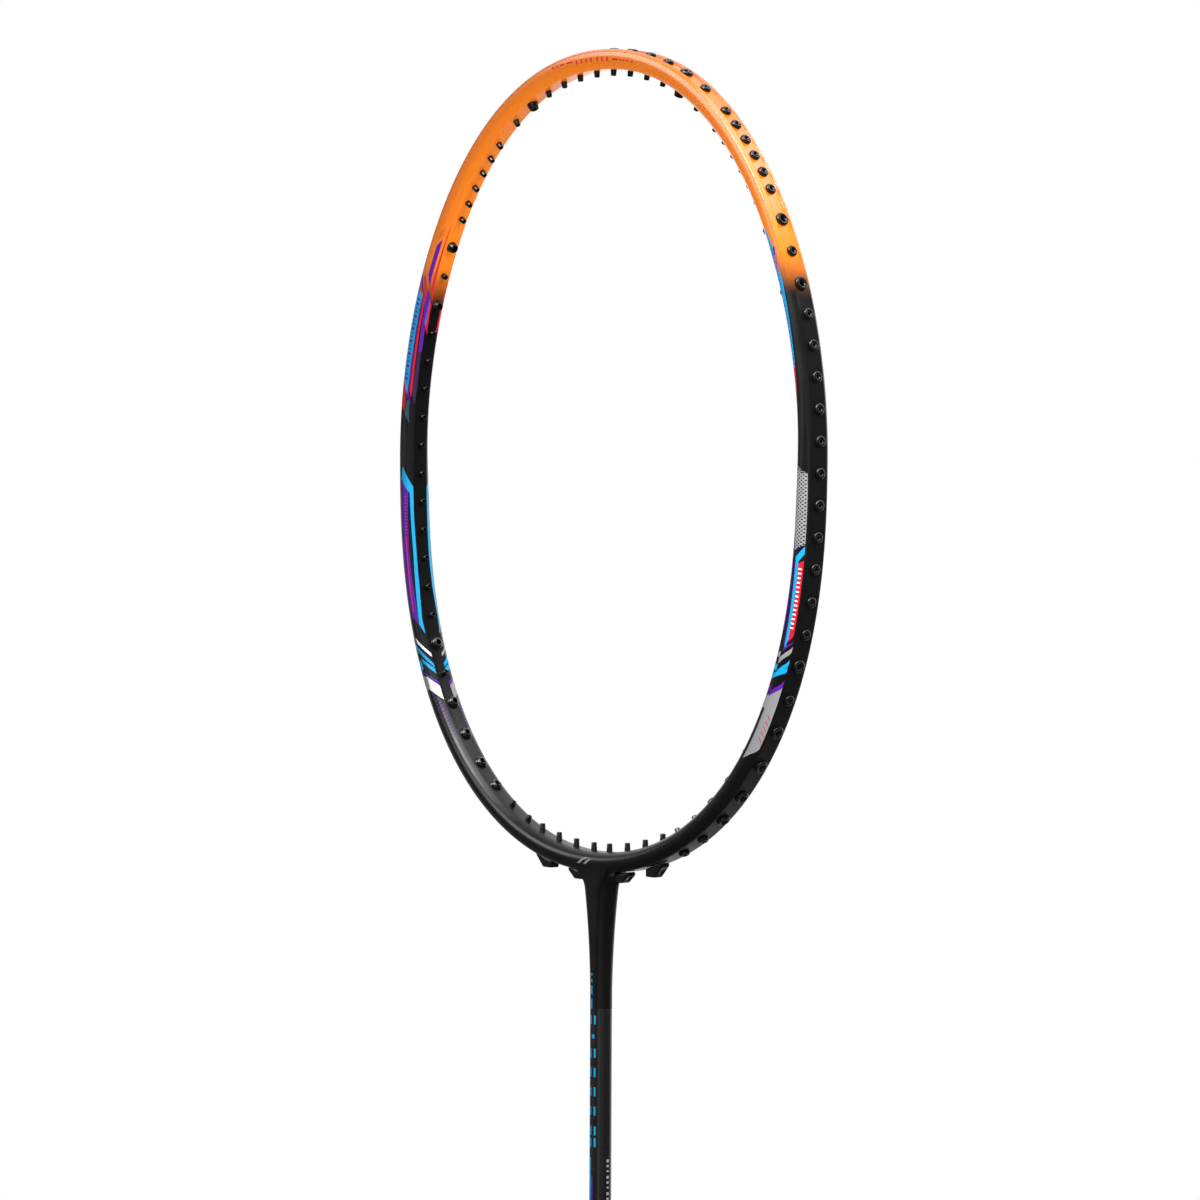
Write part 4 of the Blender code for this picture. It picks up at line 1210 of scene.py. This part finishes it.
def cone_size(z):
    share = min(max((z - CONE_STRAIGHT_Z) / (CONE_BOX[1].z - CONE_STRAIGHT_Z), 0), 1)
    top = 2 * CONE_TOP_RADIUS
    size = tuple(top + (side - top) * (1 - share) ** CONE_POWER for side in HANDLE_SIZE)
    return size, min(share * 2.5, 1)


def build_cone(material):
    bottom, top = CONE_BOX[0].z, CONE_BOX[1].z
    rings = []
    for z in (bottom, *np.linspace(CONE_STRAIGHT_Z, top - 0.9 * MM, 40)):
        size, roundness = cone_size(z)
        rings.append(octagon(size, z, 0, roundness))
    lip = (2 * CONE_TOP_RADIUS,) * 2
    for drop, inset in ((0.5, 0.04), (0.22, 0.16), (0.06, 0.36), (0, 0.6)):
        rings.append(octagon(lip, top - drop * MM, -inset * MM, 1))
    bore = (2 * SHAFT_RADIUS + 0.1 * MM,) * 2
    rings += [octagon(bore, z, 0, 1) for z in (top - 0.3 * MM, 191.5 * MM)]
    for z in (*CONE_INNER_HEIGHTS, bottom):
        size, roundness = cone_size(z)
        rings.append(octagon(size, z, -CONE_WALL, roundness))
    mesh = loft_mesh("cone_skin", rings, True)
    add_piece("cone_skin", mesh, material, ("cone",))


def grip_growth(z, turn):
    """How far the wound band stands out of the bare handle at a height and angle."""
    phase = ((z - GRIP_BOX[0].z) / BAND_PITCH - turn / (2 * math.pi)) % 1.0
    edge = np.clip(phase * BAND_PITCH / LAP_EDGE, 0, 1)
    settle = np.clip(1 - phase * BAND_PITCH / LAP_RUN, 0, 1) ** 2
    before = np.clip((1 - phase) * BAND_PITCH / (2 * MM), 0, 1)
    end = min(max((GRIP_BOX[1].z - z) / (1.5 * MM), 0), 1) ** 0.5
    rise = GRIP_GROWTH - BAND_LAP + BAND_LAP * settle * np.sin(edge * math.pi / 2) ** 2
    return rise - 0.12 * MM * (1 - before) - 0.25 * MM * (1 - end)


def build_grip(material):
    bottom, top = GRIP_BOX[0].z, GRIP_BOX[1].z
    rings, uvs = [], []
    for z in np.linspace(bottom, top, 340):
        rings.append(octagon(handle_size(z), z, grip_growth(z, TURNS)))
        phase = ((z - bottom) / BAND_PITCH - TURNS / (2 * math.pi)) * BAND_PITCH / MM
        uvs.extend(zip(TURNS / (2 * math.pi) * TEXTURE_ROUND, phase))
    for z in (top, bottom):
        rings.append(octagon(handle_size(z), z, GAP))
        uvs.extend(zip(TURNS, TURNS * 0))
    mesh = loft_mesh("grip_skin", rings, True, SMOOTH_ANGLE, uvs)
    add_piece("grip_skin", mesh, material, ("grip_wrap",))


def build_tape(material):
    bottom, top = (corner.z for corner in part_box("finishing_tape"))
    grip_top = GRIP_BOX[1].z
    rings = []
    for z in np.linspace(bottom, grip_top, 24):
        ripple = 0.05 * MM * np.sin(5 * TURNS + z * 900)
        rings.append(octagon(HANDLE_SIZE, z, GRIP_GROWTH + 0.75 * MM + ripple))
    for step in (0.25, 0.5, 0.75, 1.0):
        z = grip_top + (CONE_STRAIGHT_Z - grip_top) * step
        sink = (1 - math.cos(math.pi * step)) / 2
        rings.append(octagon(HANDLE_SIZE, z, 0.9 * MM + (GRIP_GROWTH - 0.15 * MM) * (1 - sink)))
    for z in np.linspace(CONE_STRAIGHT_Z + 1 * MM, top, 6):
        size, roundness = cone_size(z)
        rings.append(octagon(size, z, 0.72 * MM, roundness))
    size, roundness = cone_size(top)
    rings.append(octagon(size, top, 0.25 * MM, roundness))
    for z, grow in (
        (CONE_STRAIGHT_Z, 0.2 * MM), (grip_top + 0.15 * MM, 0.3 * MM),
        (grip_top + 0.15 * MM, GRIP_GROWTH + 0.1 * MM), (bottom, GRIP_GROWTH + 0.1 * MM),
    ):
        rings.append(octagon(HANDLE_SIZE, z, grow))
    mesh = loft_mesh("tape_skin", rings, True)
    add_piece("tape_skin", mesh, material, ("finishing_tape",))


def build_butt(cap_material, badge_material, ring_material):
    rim = handle_size(0)
    plate = GRIP_BOX[0].z - GAP
    recess = (2 * BADGE_RADIUS + 0.3 * MM,) * 2
    rings = [octagon(recess, 0.9 * MM, 0, 1), octagon(recess, 0.12 * MM, 0, 1)]
    rings.append(octagon(recess, 0, 0.15 * MM, 1))
    for inset, z, roundness in CAP_EDGE:
        rings.append(octagon(rim, z * MM, GRIP_GROWTH - inset * MM, roundness))
    rings.append(octagon(rim, plate - 0.3 * MM, GRIP_GROWTH))
    rings.append(octagon(rim, plate, GRIP_GROWTH - 0.3 * MM))
    for z, grow in ((plate, 0), (CAP_TOP, 0), (CAP_TOP, -CAP_WALL), (plate, -CAP_WALL)):
        rings.append(octagon(handle_size(z), z, grow))
    mesh = loft_mesh("butt_cap_skin", rings)
    add_piece("butt_cap_skin", mesh, cap_material, ("butt_cap",))
    disc = [(BADGE_RADIUS, 0.8), (BADGE_RADIUS, 0.18), (BADGE_RADIUS - 0.12 * MM, 0.06)]
    profile = [(radius, z * MM) for radius, z in disc] + [(0.2 * MM, 0.0)]
    badge = loft_mesh("badge_skin", round_rings(profile, 96))
    add_piece("badge_skin", badge, badge_material, ("butt_badge",))
    for k, (inner, outer) in enumerate(((6.6 * MM, 7.2 * MM), (3.2 * MM, 4.6 * MM))):
        section = ((inner, 0.02 * MM), (inner, 0.0), (outer, 0.0), (outer, 0.06 * MM))
        ring = loft_mesh(f"badge_ring_{k}", round_rings(section, 96), True)
        add_piece(f"badge_ring_{k}", ring, ring_material)


# The other materials, and the CAD pieces that stay


def grip_material():
    """Polyurethane band: fine grain and rows of small pores along the way it is wound, with painted
    shade in the pores.
    """
    material, tree, shader, position = new_material(
        "grip_skin_pu", srgb(34, 34, 36), 0.62, Sheen_Weight=0.15,
    )
    place = add_node(tree, "ShaderNodeSeparateXYZ", Vector=texture_place(tree, "UV"))
    squares = []
    for output, pitch in enumerate(PORE_PITCHES):
        cell = math_node(tree, "FRACT", math_node(tree, "DIVIDE", place.outputs[output], pitch))
        cell = math_node(tree, "MULTIPLY", math_node(tree, "SUBTRACT", cell, 0.5), pitch)
        squares.append(math_node(tree, "MULTIPLY", cell, cell))
    distance = math_node(tree, "SQRT", math_node(tree, "ADD", *squares))
    pore = remap(tree, distance, *PORE_RADII, 0.0, 1.0, smooth=True)
    grain = noise(tree, position, 1500, 4)
    shade = mix_colour(tree, grain, srgb(26, 26, 28), srgb(44, 44, 46))
    # The pores are painted near-black: painted shade in their hollows, not the band's own colour
    set_input(tree, shader, "Base Color", mix_colour(tree, pore, srgb(10, 10, 11), shade))
    set_input(tree, shader, "Roughness", remap(tree, grain, 0.3, 0.7, 0.55, 0.7))
    parts = [math_node(tree, "MULTIPLY", *part) for part in ((pore, 0.6), (grain, 0.4))]
    height = math_node(tree, "ADD", *parts)
    set_input(tree, shader, "Normal", bump(tree, height, 0.5, 0.25 * MM))
    return material


def wood_material():
    material, tree, shader, position = new_material("core_wood", srgb(196, 160, 112), 0.65)
    stretch = add_node(tree, "ShaderNodeMapping", Vector=position, Scale=(1, 1, 0.06))
    grain = noise(tree, stretch.outputs[0], 900, 5, 0.6)
    shade = mix_colour(tree, grain, srgb(168, 128, 82), srgb(214, 182, 134))
    set_input(tree, shader, "Base Color", shade)
    set_input(tree, shader, "Normal", bump(tree, grain, 0.2, 0.2 * MM))
    return material


def finish_hidden_nodes():
    """CAD pieces that stay as they are, inside the others, get their own materials."""
    wood = wood_material()
    resin = speckled("joint_resin_skin", srgb(58, 58, 60), 0.6, 1200, 0.25, 0.1)
    steel = speckled("tack_steel_skin", srgb(176, 176, 180), 0.3, 1500, 0.1, 0.05, Metallic=1.0)
    for name, material in (
        ("handle_core", wood), ("t_joint", resin),
        ("cap_tack_front", steel), ("cap_tack_back", steel),
    ):
        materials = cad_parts[name].data.materials
        materials.clear()
        materials.append(material)


# Floor, light and camera

FLOOR_RADIUS, FLOOR_Z = 1.9, -0.5 * MM
HEAD_CENTRE = Vector((0, 0, HEAD_CENTRE_Z))
DARK_CORNERS = 0.02
# (direction, full brightness within this many degrees of it, none beyond, strength)
GLOSS_PATCHES = (
    ((-0.45, 0.75, 0.5), 35, 72, 1.0),
    ((-0.755, -0.656, 0.0), 12, 40, 0.13),
    ((-0.56, -0.72, 0.46), 14, 22, 5.5),
    ((0.3, -0.2, 0.93), 16, 28, 6.0),
    ((0.45, -0.85, 0.1), 8, 25, 0.6),
    ((0.9, -0.42, 0.1), 4, 16, 0.6),
    ((-0.6, 0.65, -0.5), 25, 60, 0.35),
)
FILL_PATCHES = (
    ((0.15, -0.85, 0.35), 30, 120, 0.6),
)
# (name, direction from the head's middle, distance, size, power, lights gloss, lights diffuse)
SOFTBOXES = (
    ("top_front", (0.14, -0.67, 0.72), 0.9, (0.35, 0.35), 8.5, True, False),
    ("top_back", (0.165, 0.328, 0.426), 0.563, (0.2, 0.2), 0.3, True, True),
    ("right_key", (0.8, 0.1, 0.6), 1.8, (0.8, 0.8), 38, False, True),
    ("shoulder", (0.82, -0.56, 0.0), 0.266, (0.12, 0.12), 0.48, False, True),
)

# The camera stands level with the head, to the right of its front
CAMERA_AZIMUTH = math.radians(49.05)
CAMERA_YAW = math.radians(49.086)
CAMERA_PITCH = math.radians(-1.33)
CAMERA_ROLL = math.radians(0.257)
CAMERA_DISTANCE = 1.4686
CAMERA_RISE = -8.6 * MM
CAMERA_LENS = 141.98
SENSOR_WIDTH = 36.0


def build_floor():
    material, tree, shader, position = new_material("floor_paint", srgb(246, 246, 246), 0.7)
    tint = mix_colour(tree, noise(tree, position, 6), srgb(244, 244, 244), srgb(249, 249, 249))
    set_input(tree, shader, "Base Color", tint)
    turn = 2 * math.pi * np.arange(96) / 96
    ring = [(FLOOR_RADIUS * math.cos(a), FLOOR_RADIUS * math.sin(a), FLOOR_Z) for a in turn]
    mesh = bpy.data.meshes.new("floor")
    mesh.from_pydata(ring, [], [tuple(range(len(ring)))])
    mesh.materials.append(material)
    floor = add_object("floor", mesh)
    floor.visible_glossy = False


def add_softbox(name, direction, distance, size, power, in_gloss, in_diffuse):
    """An area light that faces the head from a direction."""
    light = bpy.data.lights.new(name, "AREA")
    light.shape = "RECTANGLE"
    light.size, light.size_y = size
    light.energy = power
    lamp = add_object(name, light)
    towards = Vector(direction).normalized()
    lamp.location = HEAD_CENTRE + towards * distance
    lamp.rotation_euler = towards.to_track_quat("Z", "Y").to_euler()
    lamp.visible_camera = False
    lamp.visible_glossy = in_gloss
    lamp.visible_diffuse = in_diffuse


def glow(tree, direction, axis, full, none, strength):
    """A soft bright patch of the world round an axis, between two angles from it in degrees."""
    dot = tree.nodes.new("ShaderNodeVectorMath")
    dot.operation = "DOT_PRODUCT"
    set_input(tree, dot, 0, direction)
    set_input(tree, dot, 1, Vector(axis).normalized())
    low, high = (math.cos(math.radians(angle)) for angle in (none, full))
    return remap(tree, dot.outputs["Value"], low, high, 0.0, strength, smooth=True)


def build_light():
    """White behind the object, an even soft fill, and a few broad patches for gloss to pick up."""
    world = bpy.data.worlds.new("studio")
    bpy.context.scene.world = world
    world.use_nodes = True
    tree = world.node_tree
    tree.nodes.clear()
    direction = texture_place(tree, "Generated")
    path = tree.nodes.new("ShaderNodeLightPath")
    gloss = fill = DARK_CORNERS
    for patch in GLOSS_PATCHES:
        gloss = math_node(tree, "ADD", glow(tree, direction, *patch), gloss)
    for patch in FILL_PATCHES:
        fill = math_node(tree, "ADD", glow(tree, direction, *patch), fill)
    strength = remap(tree, path.outputs["Is Glossy Ray"], 0, 1, fill, gloss)
    strength = remap(tree, path.outputs["Is Camera Ray"], 0, 1, strength, 1.0)
    back = add_node(tree, "ShaderNodeBackground", Color=(1, 1, 1, 1), Strength=strength)
    output = tree.nodes.new("ShaderNodeOutputWorld")
    tree.links.new(back.outputs[0], output.inputs[0])
    for softbox in SOFTBOXES:
        add_softbox(*softbox)
    bpy.context.scene.view_settings.view_transform = "Standard"


def build_camera():
    data = bpy.data.cameras.new("camera")
    data.lens, data.sensor_width = CAMERA_LENS, SENSOR_WIDTH
    data.clip_start, data.clip_end = 0.05, 100
    camera = add_object("camera", data)
    place = Vector((math.sin(CAMERA_AZIMUTH), -math.cos(CAMERA_AZIMUTH), 0)) * CAMERA_DISTANCE
    place = HEAD_CENTRE + place + Vector((0, 0, CAMERA_RISE))
    forward = Vector((
        -math.sin(CAMERA_YAW) * math.cos(CAMERA_PITCH),
        math.cos(CAMERA_YAW) * math.cos(CAMERA_PITCH),
        math.sin(CAMERA_PITCH),
    ))
    level = Vector((math.cos(CAMERA_YAW), math.sin(CAMERA_YAW), 0))
    upright = level.cross(forward)
    right = math.cos(CAMERA_ROLL) * level + math.sin(CAMERA_ROLL) * upright
    up = -math.sin(CAMERA_ROLL) * level + math.cos(CAMERA_ROLL) * upright
    turn = Matrix((right, up, -forward)).transposed().to_4x4()
    camera.matrix_world = Matrix.Translation(place) @ turn
    bpy.context.scene.camera = camera


# Build everything


def build_racket():
    nylon = speckled(
        "grommet_nylon_skin", srgb(13, 13, 14), 0.24, 2400, 0.2, 0.04, Specular_IOR_Level=0.6,
    )
    head = add_piece("head_frame_skin", head_mesh(), head_paint(), ("head_frame",))
    subtract(head, drills())
    head.data.set_sharp_from_angle(angle=math.radians(HEAD_SHARP_ANGLE))
    build_grommets(nylon)
    build_pads(nylon)
    build_marks()
    build_throat_mark()
    build_shaft(speckled(
        "shaft_paint", srgb(21, 21, 23), 0.3, 900, 0.15, 0.04, Coat_Weight=0.4, Coat_Roughness=0.15,
    ))
    build_shaft_marks()
    build_cone(speckled("cone_skin_plastic", srgb(18, 18, 19), 0.34, 1600, 0.15, 0.06))
    build_grip(grip_material())
    build_tape(speckled("tape_skin_vinyl", srgb(15, 15, 16), 0.32, 700, 0.2, 0.1))
    build_butt(
        speckled("cap_skin_plastic", srgb(24, 24, 25), 0.45, 1600, 0.15, 0.1),
        speckled("badge_skin_film", srgb(236, 118, 24), 0.35, 2600, 0.1, 0.03, Coat_Weight=0.4),
        speckled("badge_ring_film", srgb(22, 22, 24), 0.35, 2600, 0.1, 0.03),
    )
    finish_hidden_nodes()


build_racket()
build_floor()
build_light()
build_camera()
